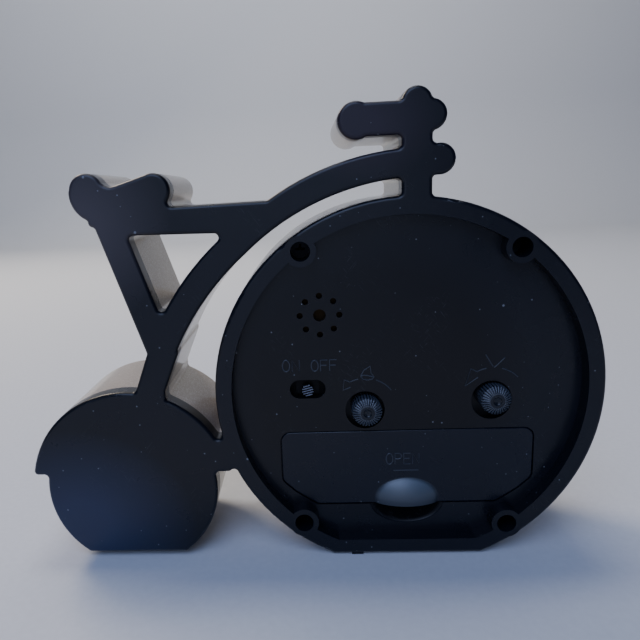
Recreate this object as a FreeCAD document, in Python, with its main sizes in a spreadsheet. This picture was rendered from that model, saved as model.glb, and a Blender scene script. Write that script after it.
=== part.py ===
import FreeCAD, Part
import math
import os
import re
import Sketcher
from FreeCAD import Placement, Rotation, Vector

# A battery alarm clock whose case is a bicycle with one big wheel and one small one.
# Frame: +Z up, the dial faces -Y, and the back with its battery door faces +Y.
# X = 0 is the dial's axis, Z = 0 is the table, and Y = 0 is half way through the case.

SIZES = {
    # the big wheel, which is the clock drum
    "drum_radius": 53.0, "drum_height": 49.29, "drum_flat": 0.65, "half_depth": 17.5,
    "cover_band": 5.4, "shell_wall": 2.0, "corner_round": 1.2, "edge_round": 1.0,
    # the small wheel and its mudguard
    "wheel_x": 79.0, "wheel_height": 22.2, "wheel_radius": 24.9, "wheel_flat": 2.0,
    "guard_radius": 29.23, "guard_edge": 26.9,
    # the bridge between the drum and the mudguard
    "bridge_near_x": 47.0, "bridge_far_x": 58.0, "bridge_top": 34.35, "bridge_side": 29.4,
    "bridge_tip_x": 50.4, "bridge_drop": 2.0,
    # the strut under the saddle
    "strut_top_x": 82.44, "strut_top": 97.63, "strut_inner_x": 73.85, "strut_inner": 95.06,
    "knee_x": 71.3, "knee": 62.4, "fork_x": 66.5, "fork": 72.4,
    "shin_x": 75.3, "shin": 52.0, "shin_foot": 47.0,
    "shin_inner_x": 67.1, "shin_inner": 51.45, "shin_root": 4.0,
    # the top tube
    "tube_back_x": 84.0, "tube_back": 97.9, "tube_front_x": 36.9, "tube_front": 102.6,
    "tube_end_x": 63.3, "tube_end": 102.1, "tube_low_x": 48.3, "tube_low": 94.7,
    "tube_root": 96.0,
    # the curved frame: two arcs above and two below
    "crown_x": -2.61, "crown": 43.81, "crown_radius": 70.43,
    "back_arc_x": -0.12, "back_arc": 34.59, "back_arc_radius": 76.57,
    "under_x": -3.7, "under": 39.02, "under_radius": 68.04,
    "low_arc_x": -7.5, "low_arc": 28.89, "low_arc_radius": 78.16,
    "arc_foot": 49.0,
    # the stem, the handlebar and the lamp
    "stem_left": -6.4, "stem_right": 1.41, "stem_foot": 98.0, "stem_top": 120.0,
    "bar_low": 117.45, "bar_high": 125.7, "bar_end_x": -6.0,
    "grip_x": 12.81, "grip": 121.44, "grip_radius": 4.72,
    "crest_x": -2.45, "crest": 125.15, "side_x": -6.06, "side": 122.01, "lobe_radius": 3.9,
    "lamp_x": -8.32, "lamp": 111.15, "lamp_radius": 3.94,
    # the saddle
    "seat_x": 83.63, "seat": 107.1, "seat_radius": 4.59,
    "seat_back_x": 80.95, "seat_back": 106.27, "seat_back_radius": 7.49, "seat_back_top": 107.2,
    "nose_x": 65.85, "nose": 106.48, "nose_radius": 4.52,
    "slope_x": 81.9, "slope": 111.1, "dip_back_x": 78.7, "dip_back": 108.45, "dip_x": 77.3,
    "dip": 107.9, "dip_front_x": 75.9, "dip_front": 108.15, "rise_x": 66.6, "rise": 110.93,
    "seat_low": 102.0, "seat_end_x": 84.0,
    # the rear cover's tray and screw bosses
    "rim_width": 4.6, "recess_depth": 4.3, "floor_thick": 1.8, "tray_flat": 4.98,
    "boss_inset": 4.38, "boss_angle": 53.8, "boss_twist": 1.08, "boss_radius": 4.2,
    "boss_hole": 2.65, "boss_tube": 3.45, "boss_depth": 9.5, "boss_seat": 1.5,
    "relief_gap": 0.25, "pillar_radius": 3.1,
    "screw_head": 2.4, "screw_head_height": 1.6, "screw_shank": 1.4, "screw_hole": 1.45,
    "screw_length": 14.0, "cross_half_length": 1.44, "cross_half_width": 0.288,
    "foot_x": 14.2, "foot_width": 3.4, "foot_length": 3.0, "wheel_foot_inset": 3.0,
    "pad_half_width": 16.0, "pad_near": -14.0, "pad_far": 2.0,
    # the battery door and its bay
    "door_left": -36.0, "door_right": 35.35, "door_low": 14.2, "door_high": 36.6,
    "door_thick": 1.6, "door_gap": 0.25, "door_rest": 0.1, "door_corner": 2.8, "door_round": 0.35,
    "door_bevel_x": 10.0, "door_bevel": 7.6,
    "bend_share_x": 0.4, "bend_share": 0.52, "seat_thick": 1.2, "seat_border": 1.0,
    "bay_left": -28.6, "bay_right": 28.6, "bay_low": 17.9, "bay_high": 33.3, "bay_wall": 1.3,
    "tab_x": 20.0, "tab_width": 6.0, "tab_foot": 3.0, "tab_rise": 1.5, "tab_thick": 1.0,
    "tab_gap": 0.3, "tab_room": 0.9,
    "thumb_x": -0.5, "thumb_half_width": 9.0, "thumb_height": 7.6, "thumb_rise": 2.6,
    "thumb_crest": 1.6, "thumb_sink": 6.0,
    "scoop": 14.6, "scoop_half_width": 10.6, "scoop_half_height": 6.8,
    "scoop_depth": 1.3,
    # the battery and its contacts
    "battery_radius": 7.25, "battery_length": 49.5, "battery_nub": 1.0,
    "battery_nub_radius": 2.75, "cell_gap": 0.25, "cell_door_gap": 0.45,
    "contact_thick": 0.3, "contact_size": 11.0, "spring_room": 3.1,
    "spring_radius": 3.6, "spring_wire": 0.45, "spring_taper": 0.432, "spring_lift": 0.35,
    "spring_pitch": 0.75,
    # openings of the cover
    "grille_x": 23.28, "grille": 70.91, "grille_hole": 1.72, "grille_ring": 5.45,
    "grille_small": 0.85,
    "alarm_hole_x": 11.15, "alarm_hole": 43.04, "alarm_hole_radius": 5.54,
    "time_hole_x": -24.03, "time_hole": 45.07, "time_hole_radius": 5.62,
    "slot_x": 27.2, "slot": 49.65, "slot_length": 10.1, "slot_height": 5.5,
    # the buzzer behind the grille
    "buzzer_radius": 10.0, "buzzer_thick": 0.4, "ceramic_radius": 7.0, "ceramic_thick": 0.25,
    "holder_wall": 1.2, "holder_depth": 1.8, "holder_ledge": 0.9, "buzzer_gap": 0.1,
    # the front: bezel, lens, inner ring and dial
    "bezel_width": 9.0, "bezel_thick": 2.5, "bore_inset": 7.4, "bore_wall": 1.5,
    "glass_gap": 0.2, "lens_thick": 1.5, "ring_width": 2.4,
    "dial_thick": 0.8, "dial_hole": 2.8, "mark_length": 5.0, "mark_width": 1.6,
    "mark_inset": 5.5, "mark_thick": 0.15,
    # the hands
    "hand_thick": 0.4, "dial_clear_share": 0.25641, "hand_gap_share": 0.102564,
    "hour_reach": 22.0, "minute_reach": 32.0, "second_reach": 34.0, "alarm_reach": 15.0,
    "second_tail": 9.0, "hour_width": 2.6, "minute_width": 2.0,
    "second_width": 0.8, "alarm_width": 1.4, "hub_extra": 1.0,
    # the movement's box
    "box_half_width": 35.0, "box_low": 35.5, "box_high": 64.0, "box_half_depth": 7.2,
    "box_wall": 1.2, "box_split": 1.0, "box_face": 1.0, "pivot_floor": 0.2,
    "pivot_end_gap": 0.1,
    "plate_front": -2.2, "plate_thick": 0.8, "plate_gap": 0.15, "ledge_size": 3.0,
    "ear_radius_at": 48.6, "ear_width": 6.0, "ear_thick": 1.5, "ear_pillar": 2.3,
    "small_head": 1.9, "small_head_height": 1.2, "small_shank": 0.95, "small_hole": 1.0,
    "small_length": 5.0, "thread_room": 0.5, "box_screw_inset": 2.0, "box_post": 2.4,
    "screw_floor": 0.4,
    # the set shafts and their knobs
    "alarm_set_x": 10.7, "alarm_set": 43.1, "time_set_x": -24.75, "time_set": 45.7,
    "shaft_radius": 1.5, "shaft_gap": 0.06, "plate_bore_gap": 0.24, "shaft_step": 0.3,
    "shaft_sink": 1.5, "pivot_radius": 0.9, "knob_near": 8.2,
    "knob_shoulder": 15.4, "knob_far": 16.5, "knob_radius": 4.25, "knob_top": 2.4,
    "rib_depth": 0.45, "dimple_radius": 1.2, "dimple_depth": 0.5,
    # the slide switch and the circuit board
    "board_left": 14.0, "board_half_height": 8.0, "board_near": 3.0, "board_thick": 1.2,
    "switch_half_width": 5.2, "switch_half_height": 3.5, "switch_far": 9.0,
    "switch_gap": 0.2, "slider_half_width": 3.4, "slider_half_height": 2.3,
    "slider_thick": 1.4, "button_radius": 1.7, "button_far": 12.8,
    "button_drop": 0.65,
    "board_post": 1.0, "board_post_inset": 1.5, "chip_radius": 3.0, "chip_thick": 1.0,
    "chip_gap": 0.6, "chip_rise": 1.0, "crystal_radius": 0.85, "crystal_length": 6.0,
    "crystal_inset": 3.5, "crystal_rise": 2.0,
    # arbors and pipes, from the inside out
    "second_arbor": 0.4, "pipe_gap": 0.06, "cannon_pipe": 1.0, "hour_pipe": 1.7,
    "alarm_pipe": 2.4, "arbor_radius": 0.3, "arbor_front": -1.9, "arbor_back": 6.8,
    "post_radius": 0.7, "post_gap": 0.05, "minute_post_rise": 0.3, "idler_post_rise": 0.4,
    "pivot_room": 0.1,
    # the gears: modules, and the front face and thickness of each layer
    "train_module": 0.2, "second_module": 0.22, "set_module": 0.25, "gear_thick": 0.8,
    "alarm_layer": -6.0, "hour_layer": -4.6, "set_layer": -3.4, "centre_layer": -0.8,
    "third_layer": 0.4, "second_layer": 1.6, "rotor_layer": 2.6, "thin_gear": 0.6,
    "third_angle": 60.0, "intermediate_angle": 250.0, "rotor_angle": 200.0,
    "minute_wheel_angle": 187.7,
    # the motor
    "magnet_radius": 1.6, "magnet_near": 3.4, "magnet_thick": 1.3, "stator_near": 3.4,
    "stator_thick": 1.0, "stator_hole": 2.0, "stator_inset": 4.9, "stator_leg": 1.6,
    "stator_pole": 4.2, "stator_bridge": 1.2, "stator_gap": 0.3, "stator_crown": 1.0,
    "core_height": 1.2, "core_root": 0.5, "coil_radius": 2.05, "coil_clear": 0.3,
    "coil_inset": 0.25, "bobbin_wall": 0.6, "bobbin_gap": 0.05, "bobbin_flange": 0.6,
    "coil_drop": 1.6,
    "stop_width": 1.2, "stop_inset": 0.1, "stop_low": 0.4, "stop_high": 2.4,
}
TEETH = {"rotor": 8, "intermediate_wheel": 48, "intermediate_pinion": 10, "second_wheel": 50,
         "second_pinion": 8, "third_wheel": 60, "third_pinion": 8, "centre_wheel": 64,
         "cannon": 12, "minute_wheel": 36, "minute_pinion": 10, "hour_wheel": 40,
         "idler": 47, "time_set": 24, "alarm_set": 20, "alarm_wheel": 48}
GRILLE_HOLES = 8
KNOB_RIBS = 30
SPRING_RINGS = 4
HOURS = 12
TOOTH_TIP = 0.6
TOOTH_ROOT = 0.9
TIP_SHARE = 0.13
ROOT_SHARE = 0.30
HAND_SHOULDER = 0.75
REST_ANGLES = {"hour": 305.0, "minute": 60.0, "second": 210.0, "alarm": 195.0}

doc = FreeCAD.newDocument("bicycle_alarm_clock")
sheet = doc.addObject("Spreadsheet::Sheet", "Sizes")
for row, (alias, number) in enumerate(SIZES.items(), start=1):
    sheet.set("A%d" % row, str(number))
    sheet.setAlias("A%d" % row, alias)
doc.recompute()

PARTS = []
ALONG_Y = Rotation(Vector(1, 0, 0), -90)
ALONG_X = Rotation(Vector(0, 1, 0), 90)


# ---- formulas and small helpers -------------------------------------------------------------
def formula(text):
    """Write a sum of size names as an expression of the sheet."""
    def cell(match):
        name = match.group()
        return "Sizes." + name if name in SIZES else name
    return re.sub(r"[a-z_][a-z0-9_]*", cell, str(text))


def value(text):
    """Work out a sum of size names as a number."""
    result = sheet.evalExpression(formula(text))
    return float(getattr(result, "Value", result))


def bind(shape, **sums):
    """Bind properties of a primitive to sums of sizes."""
    for name, text in sums.items():
        shape.setExpression(name, formula(text))
    return shape


def place(shape, x="0", y="0", z="0", turn=None):
    """Give a primitive its turn, and a base that follows the sheet."""
    shape.Placement = Placement(Vector(), turn or Rotation())
    bind(shape, **{".Placement.Base.x": x, ".Placement.Base.y": y, ".Placement.Base.z": z})
    return shape


def rod(name, radius, near, far, x="0", z="0"):
    """A round bar along Y, from near to far."""
    shape = doc.addObject("Part::Cylinder", name)
    bind(shape, Radius=radius, Height="(%s) - (%s)" % (far, near))
    return place(shape, x, near, z, ALONG_Y)


def rod_x(name, radius, left, right, y, z):
    """A round bar along X, from left to right."""
    shape = doc.addObject("Part::Cylinder", name)
    bind(shape, Radius=radius, Height="(%s) - (%s)" % (right, left))
    return place(shape, left, y, z, ALONG_X)


def block(name, left, right, near, far, low, high):
    """A box between two X, two Y and two Z levels."""
    shape = doc.addObject("Part::Box", name)
    bind(shape, Length="(%s) - (%s)" % (right, left), Width="(%s) - (%s)" % (far, near),
         Height="(%s) - (%s)" % (high, low))
    return place(shape, left, near, low)


def move_axis(shape, x, z):
    """Put a bar's axis at worked-out numbers, such as a gear's place."""
    shape.setExpression(".Placement.Base.x", None)
    shape.setExpression(".Placement.Base.z", None)
    shape.Placement.Base = Vector(x, 0, z)
    return shape


def fuse(name, shapes):
    """Join solids into one."""
    shape = doc.addObject("Part::MultiFuse", name)
    shape.Shapes = shapes
    shape.Refine = True
    return shape


def group(name, shapes):
    """Keep loose solids, such as a set of screws, together in one node."""
    shape = doc.addObject("Part::Compound", name)
    shape.Links = shapes
    return shape


def cut(name, base, tools):
    """Cut several solids out of one."""
    shape = doc.addObject("Part::Cut", name)
    shape.Base = base
    shape.Tool = tools[0] if len(tools) == 1 else fuse(name + "_tools", tools)
    shape.Refine = True
    return shape


def common(name, first, second):
    """Keep what two solids share."""
    shape = doc.addObject("Part::Common", name)
    shape.Base = first
    shape.Tool = second
    return shape


def part(shape, label):
    """Name a finished sub-part and list it for export."""
    shape.Label = label
    PARTS.append(shape)
    return shape


def drawn(name, corners):
    """A closed sketch in the XZ plane, its corners bound to sums of sizes."""
    sketch = doc.addObject("Sketcher::SketchObject", name)
    sketch.Placement = Placement(Vector(), Rotation(Vector(1, 0, 0), 90))
    spots = [Vector(value(x), value(z), 0) for x, z in corners]
    count = len(spots)
    sketch.addGeometry([Part.LineSegment(spots[i], spots[(i + 1) % count]) for i in range(count)])
    for i in range(count):
        sketch.addConstraint(Sketcher.Constraint("Coincident", i, 2, (i + 1) % count, 1))
    for i, texts in enumerate(corners):
        for kind, text in zip(("DistanceX", "DistanceY"), texts):
            number = sketch.addConstraint(Sketcher.Constraint(kind, -1, 1, i, 1, value(text)))
            sketch.setExpression("Constraints[%d]" % number, formula(text))
    return sketch


def extrude(name, flat, near, far):
    """Push a flat shape that lies at Y = 0 out along Y, from near to far."""
    shape = doc.addObject("Part::Extrusion", name)
    shape.Base = flat
    shape.DirMode = "Custom"
    shape.Dir = Vector(0, 1, 0)
    shape.Solid = True
    bind(shape, LengthFwd=far, LengthRev="-(%s)" % near)
    return shape


def offset(name, flat, amount):
    """Grow or shrink a flat shape, with arcs round its corners."""
    shape = doc.addObject("Part::Offset2D", name)
    shape.Source = flat
    return bind(shape, Value=amount)


def rounded(name, base, level, radius="edge_round"):
    """Round the edges that lie at one Y level."""
    doc.recompute()
    level, radius = value(level), value(radius)
    edges = []
    for number, edge in enumerate(base.Shape.Edges, start=1):
        box = edge.BoundBox
        if max(abs(box.YMin - level), abs(box.YMax - level)) < 1e-4:
            edges.append((number, radius, radius))
    shape = doc.addObject("Part::Fillet", name)
    shape.Base = base
    shape.Edges = edges
    return shape


def body(label):
    """A PartDesign body that is a sub-part."""
    return part(doc.addObject("PartDesign::Body", label + "_body"), label)


def plane(owner, role):
    """One of a body's own origin planes."""
    return next(item for item in owner.Origin.OriginFeatures if item.Role == role)


def sketch_in(owner, name, role="XZ_Plane"):
    """A sketch on an origin plane of a body."""
    sketch = owner.newObject("Sketcher::SketchObject", name)
    sketch.AttachmentSupport = (plane(owner, role), [""])
    sketch.MapMode = "FlatFace"
    return sketch


def circle_in(sketch, radius):
    """A circle about the sketch's origin."""
    number = sketch.addGeometry(Part.Circle(Vector(), Vector(0, 0, 1), value(radius)))
    sketch.addConstraint(Sketcher.Constraint("Coincident", number, 3, -1, 1))
    rule = sketch.addConstraint(Sketcher.Constraint("Radius", number, value(radius)))
    sketch.setExpression("Constraints[%d]" % rule, formula(radius))


def disc_body(label, outer, inner, near, far, x="0", z="drum_height"):
    """A flat ring or disc as a padded sketch."""
    owner = body(label)
    sketch = sketch_in(owner, label + "_sketch")
    circle_in(sketch, outer)
    if inner:
        circle_in(sketch, inner)
    pad = owner.newObject("PartDesign::Pad", label + "_pad")
    pad.Profile = sketch
    pad.Reversed = True
    bind(pad, Length="(%s) - (%s)" % (far, near))
    return place(owner, x, near, z)


# ---- the outline of the whole bicycle -------------------------------------------------------
BACK = "half_depth"
FRONT = "-half_depth"
PARTING = "half_depth - cover_band"
FLOOR = "half_depth - recess_depth"
FLOOR_INSIDE = "half_depth - recess_depth - floor_thick"


def wheel_slice(name, radius, x, z, low=None, high=None):
    """A disc one millimetre thick, with a flat underneath or on top."""
    disc = rod(name + "_disc", radius, "0", "1", x, z)
    if low is None and high is None:
        return disc
    keep = block(name + "_keep", "%s - %s - 1" % (x, radius), "%s + %s + 1" % (x, radius), "0", "1",
                 low or "%s - %s - 1" % (z, radius), high or "%s + %s + 1" % (z, radius))
    return common(name, disc, keep)


def slab(name, corners):
    """A sketched outline, one millimetre thick."""
    return extrude(name, drawn(name + "_sketch", corners), "0", "1")


def frame_arc():
    """The curved frame: what lies inside the upper arcs and outside the lower ones."""
    upper = fuse("arc_upper", [rod("arc_crown", "crown_radius", "0", "1", "crown_x", "crown"),
                               rod("arc_back", "back_arc_radius", "0", "1", "back_arc_x", "back_arc")])
    lower = [rod("arc_under", "under_radius", "0", "1", "under_x", "under"),
             rod("arc_low", "low_arc_radius", "0", "1", "low_arc_x", "low_arc")]
    keep = block("arc_keep", "0", "wheel_x", "0", "1", "arc_foot", "crown + crown_radius + 1")
    return common("frame_arc", cut("arc_band", upper, lower), keep)


def outline():
    """The flat outline that both halves of the case share."""
    pieces = [
        wheel_slice("drum_slice", "drum_radius", "0", "drum_height", low="drum_flat"),
        wheel_slice("wheel_slice", "wheel_radius", "wheel_x", "wheel_height", low="wheel_flat"),
        wheel_slice("guard_slice", "guard_radius", "wheel_x", "wheel_height", low="guard_edge"),
        wheel_slice("seat_slice", "seat_radius", "seat_x", "seat"),
        wheel_slice("seat_back_slice", "seat_back_radius", "seat_back_x", "seat_back",
                    high="seat_back_top"),
        wheel_slice("nose_slice", "nose_radius", "nose_x", "nose"),
        wheel_slice("grip_slice", "grip_radius", "grip_x", "grip"),
        wheel_slice("crest_slice", "lobe_radius", "crest_x", "crest"),
        wheel_slice("side_slice", "lobe_radius", "side_x", "side"),
        wheel_slice("lamp_slice", "lamp_radius", "lamp_x", "lamp"),
        block("stem_slice", "stem_left", "stem_right", "0", "1", "stem_foot", "stem_top"),
        block("bar_slice", "bar_end_x", "grip_x", "0", "1", "bar_low", "bar_high"),
        slab("bridge", [("bridge_near_x", "bridge_top"), ("bridge_near_x", "bridge_side"),
                        ("bridge_tip_x", "guard_edge"), ("bridge_far_x", "guard_edge"),
                        ("bridge_far_x", "bridge_top - bridge_drop")]),
        slab("strut", [("strut_top_x", "strut_top"), ("knee_x", "knee"), ("fork_x", "fork"),
                       ("strut_inner_x", "strut_inner"), ("strut_inner_x", "tube_end"),
                       ("strut_top_x", "tube_end")]),
        slab("shin", [("knee_x", "knee"), ("shin_x", "shin"), ("shin_x", "shin_foot"),
                      ("shin_inner_x", "shin_foot"), ("shin_inner_x", "shin_inner"),
                      ("fork_x - shin_root", "knee"), ("fork_x", "fork")]),
        slab("top_tube", [("tube_back_x", "tube_back"), ("strut_inner_x", "strut_inner"),
                          ("tube_low_x", "tube_low"), ("tube_front_x", "tube_root"),
                          ("tube_front_x", "tube_front"), ("tube_end_x", "tube_end"),
                          ("tube_back_x", "tube_end")]),
        slab("saddle", [("slope_x", "slope"), ("dip_back_x", "dip_back"), ("dip_x", "dip"),
                        ("dip_front_x", "dip_front"), ("rise_x", "rise"), ("nose_x", "seat_low"),
                        ("strut_top_x", "seat_low"), ("seat_end_x", "seat")]),
        frame_arc(),
    ]
    blank = fuse("bicycle_blank", pieces)
    doc.recompute()
    face = doc.addObject("Part::Feature", "bicycle_face")
    face.Shape = next(item for item in blank.Shape.Faces if abs(item.BoundBox.YMax) < 1e-6)
    grown = offset("face_grown", face, "corner_round")
    closed = offset("face_closed", grown, "-corner_round")
    shrunk = offset("face_shrunk", closed, "-corner_round")
    return offset("face_outline", shrunk, "corner_round")


OUTLINE = outline()
INSIDE = offset("face_inside", OUTLINE, "-shell_wall")
doc.recompute()


# ---- places that several pieces share -------------------------------------------------------
def boss_places():
    """The centres of the four case screws, as sums of sizes."""
    reach = "(drum_radius - boss_inset)"
    for sign_x in (1, -1):
        for sign_z in (1, -1):
            side = 0 if sign_x > 0 else 180
            angle = "(%d + %d * boss_angle + boss_twist)" % (side, sign_x * sign_z)
            yield ("%s * cos(%s)" % (reach, angle), "drum_height + %s * sin(%s)" % (reach, angle))


BOSSES = list(boss_places())
BORE = "drum_radius - bore_inset"
LENS_NEAR = "bezel_thick - half_depth"
LENS_FAR = LENS_NEAR + " + lens_thick"
DIAL_FAR = "-box_half_depth"
DIAL_NEAR = "-box_half_depth - dial_thick"
BAY_MID = "(bay_low + bay_high) / 2"
EARS = [("ear_radius_at", "drum_height"), ("-ear_radius_at", "drum_height")]
BOSS_BOTTOM = "half_depth - boss_depth"
DOOR_NEAR = "half_depth - recess_depth - door_thick"
DOOR_LEDGE = DOOR_NEAR + " - door_rest"
CELL_MID = DOOR_NEAR + " - cell_door_gap - battery_radius"
BAY_FLOOR = CELL_MID + " - battery_radius - cell_gap"
SHAFTS = [("alarm_set_x", "alarm_set"), ("time_set_x", "time_set")]


# ---- the case -------------------------------------------------------------------------------
def front_shell():
    """The light front half: a deep bicycle-shaped cup with a round window for the dial."""
    block_ = extrude("shell_block", OUTLINE, FRONT, PARTING)
    doc.recompute()
    outside = rounded("shell_outside", block_, FRONT)
    hollow = extrude("shell_hollow", INSIDE, "%s + shell_wall" % FRONT, "%s + 1" % PARTING)
    bezel = rod("shell_bezel", BORE + " + bore_wall", FRONT, LENS_NEAR, z="drum_height")
    tube = rod("shell_tube", BORE + " + bore_wall", LENS_NEAR, DIAL_FAR, z="drum_height")
    cup = cut("shell_cup", outside, [hollow])
    pillars = []
    for i, (x, z) in enumerate(BOSSES):
        pillars.append(rod("shell_pillar%d" % i, "pillar_radius", LENS_NEAR,
                           BOSS_BOTTOM + " - boss_seat", x, z))
    for i, (x, z) in enumerate(EARS):
        pillars.append(rod("shell_ear_pillar%d" % i, "ear_pillar", LENS_NEAR, DIAL_FAR, x, z))
    feet = [block("base_pad", "-pad_half_width", "pad_half_width", "pad_near", "pad_far",
                  "0", "drum_flat + shell_wall / 2"),
            block("wheel_foot", "wheel_x - foot_width / 2", "wheel_x + foot_width / 2",
                  PARTING + " - wheel_foot_inset - foot_length", PARTING + " - wheel_foot_inset", "0",
                  "wheel_flat + shell_wall / 2")]
    whole = fuse("shell_whole", [cup, bezel, tube] + pillars + feet)
    cuts = [rod("shell_window", "drum_radius - bezel_width", FRONT + " - 1", "0", z="drum_height"),
            rod("shell_bore", BORE, LENS_NEAR, "0", z="drum_height")]
    for i, (x, z) in enumerate(BOSSES):
        cuts.append(rod("shell_hole%d" % i, "screw_hole", BOSS_BOTTOM + " - screw_length - 1",
                        BOSS_BOTTOM, x, z))
        cuts.append(rod("shell_relief%d" % i, "boss_tube + relief_gap",
                        BOSS_BOTTOM + " - boss_seat", BACK, x, z))
    for i, (x, z) in enumerate(EARS):
        cuts.append(rod("shell_ear_hole%d" % i, "small_hole",
                        "ear_thick - box_half_depth - small_length - thread_room", "0", x, z))
    return part(cut("shell_finished", whole, cuts), "front_shell")


def rear_cover():
    """The dark rear half: a shallow tray with screw bosses, knob holes and the battery bay."""
    block_ = extrude("cover_block", OUTLINE, PARTING, BACK)
    doc.recompute()
    outside = rounded("cover_outside", block_, BACK)
    hollow = extrude("cover_hollow", INSIDE, PARTING + " - 1", BACK + " - shell_wall")
    cup = cut("cover_cup", outside, [hollow])
    rim = common("cover_rim", rod("cover_drum", "drum_radius - shell_wall / 2", PARTING,
                                  BACK + " - edge_round", z="drum_height"),
                 block("cover_rim_keep", "-drum_radius", "drum_radius", PARTING, BACK,
                       "drum_flat + shell_wall / 2", "drum_height + drum_radius"))
    spigot = common("cover_spigot", rod("cover_disc", "drum_radius - shell_wall - glass_gap",
                                        FLOOR_INSIDE, PARTING, z="drum_height"),
                    block("cover_keep", "-drum_radius", "drum_radius", FLOOR_INSIDE, PARTING,
                          "drum_flat + shell_wall + glass_gap", "drum_height + drum_radius"))
    tray = common("cover_tray", rod("tray_disc", "drum_radius - rim_width", FLOOR, BACK + " + 1",
                                    z="drum_height"),
                  block("tray_keep", "-drum_radius", "drum_radius", FLOOR, BACK + " + 1",
                        "tray_flat", "drum_height + drum_radius"))
    floor_cup = cut("cover_floor", fuse("cover_body", [cup, rim, spigot]), [tray])
    seat = extrude("door_seat", wider_door("seat_outline", "seat_border"),
                   DOOR_LEDGE + " - seat_thick", FLOOR_INSIDE)
    bay = block("bay_outside", "bay_left - bay_wall", "bay_right + bay_wall",
                BAY_FLOOR + " - bay_wall", FLOOR_INSIDE, "bay_low - bay_wall", "bay_high + bay_wall")
    holder = rod("buzzer_holder", "buzzer_radius + buzzer_gap + holder_wall",
                 FLOOR_INSIDE + " - holder_depth", FLOOR_INSIDE, "grille_x", "grille")
    bosses = []
    for i, (x, z) in enumerate(BOSSES):
        bosses.append(rod("boss_top%d" % i, "boss_radius", PARTING, BACK, x, z))
        bosses.append(rod("boss_tube%d" % i, "boss_tube", BOSS_BOTTOM + " - boss_seat", FLOOR, x, z))
    nub = block("cover_foot", "foot_x - foot_width / 2", "foot_x + foot_width / 2",
                BACK + " - foot_length", BACK + " - edge_round / 2", "0", "drum_flat + shell_wall / 2")
    whole = fuse("cover_whole", [floor_cup, seat, bay, holder, nub] + bosses)
    return part(cut("cover_finished", whole, cover_openings()), "rear_cover")


def slot(name, near):
    """The switch's slot: a block with two round ends, from one level to the back."""
    half = "(slot_length - slot_height) / 2"
    middle = block(name + "_middle", "slot_x - " + half, "slot_x + " + half, near, BACK,
                   "slot - slot_height / 2", "slot + slot_height / 2")
    left = rod(name + "_left", "slot_height / 2", near, BACK, "slot_x - " + half, "slot")
    right = rod(name + "_right", "slot_height / 2", near, BACK, "slot_x + " + half, "slot")
    return [middle, left, right]


def grille_holes(near):
    """One large hole with a ring of small ones round it."""
    holes = [rod("grille_middle", "grille_hole", near, BACK, "grille_x", "grille")]
    for i in range(GRILLE_HOLES):
        angle = 90 + i * 360 / GRILLE_HOLES
        holes.append(rod("grille_small%d" % i, "grille_small", near, BACK,
                         "grille_x + grille_ring * cos(%g)" % angle,
                         "grille + grille_ring * sin(%g)" % angle))
    return holes


def tab_rooms():
    """The room that each of the door's two tabs swings in."""
    rooms = []
    low = "door_high - tab_foot - tab_room"
    for i, sign in enumerate(("-", "")):
        left = "%stab_x - tab_width / 2 - tab_gap" % sign
        right = "%stab_x + tab_width / 2 + tab_gap" % sign
        rooms.append(block("tab_room%d" % i, left, right, FLOOR_INSIDE + " - tab_thick - tab_room",
                           FLOOR_INSIDE, low, "door_high + tab_rise + tab_gap"))
        rooms.append(block("tab_root_room%d" % i, left, right, FLOOR_INSIDE, BACK, low, "door_high"))
    return rooms


def cover_openings():
    """Everything that is cut through or into the rear cover."""
    behind = FLOOR_INSIDE + " - floor_thick"
    cuts = [extrude("door_opening", wider_door("opening_outline", "door_gap"), DOOR_LEDGE, BACK),
            block("bay_inside", "bay_left", "bay_right", BAY_FLOOR, BACK, "bay_low", "bay_high"),
            rod("alarm_opening", "alarm_hole_radius", "0", BACK, "alarm_hole_x", "alarm_hole"),
            rod("time_opening", "time_hole_radius", "0", BACK, "time_hole_x", "time_hole"),
            rod("buzzer_room", "buzzer_radius + buzzer_gap", FLOOR_INSIDE + " - holder_depth - 1",
                FLOOR_INSIDE + " - holder_ledge", "grille_x", "grille"),
            rod("buzzer_chamber", "buzzer_radius - holder_ledge", FLOOR_INSIDE + " - holder_depth",
                FLOOR_INSIDE, "grille_x", "grille"),
            dome("scoop_cut", "scoop", "scoop_half_width", "scoop_half_height", "scoop_depth")]
    for i, (x, z) in enumerate(BOSSES):
        cuts.append(rod("boss_hole%d" % i, "boss_hole", BOSS_BOTTOM, BACK + " + 1", x, z))
        cuts.append(rod("boss_bore%d" % i, "screw_hole", BOSS_BOTTOM + " - boss_seat - 1", BACK, x, z))
    return cuts + slot("slot", behind) + grille_holes(behind) + tab_rooms()


def dome(name, z, half_width, half_height, rise, sink="0"):
    """An egg-shaped solid whose centre lies below the tray's floor by its sink."""
    shape = doc.addObject("Part::Ellipsoid", name)
    spread = "sqrt(1 - ((%s) / (%s + %s))^2)" % (sink, rise, sink)
    bind(shape, Radius1="%s + %s" % (rise, sink), Radius2="%s / %s" % (half_width, spread),
         Radius3="%s / %s" % (half_height, spread))
    shape.Angle1 = -90
    shape.Angle2 = 90
    shape.Angle3 = 360
    return place(shape, "thumb_x", FLOOR + " - " + sink, z, Rotation(Vector(1, 0, 0), -90))


def door_outline(name):
    """The battery door's outline: its lower corners cut away, and every corner rounded."""
    bend_x, bend = "door_bevel_x * bend_share_x", "door_low + door_bevel * bend_share"
    sharp = drawn(name + "_sketch", [
        ("door_left", "door_high"), ("door_left", "door_low + door_bevel"),
        ("door_left + " + bend_x, bend), ("door_left + door_bevel_x", "door_low"),
        ("door_right - door_bevel_x", "door_low"), ("door_right - " + bend_x, bend),
        ("door_right", "door_low + door_bevel"), ("door_right", "door_high")])
    return offset(name, offset(name + "_shrunk", sharp, "-door_corner"), "door_corner")


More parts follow.
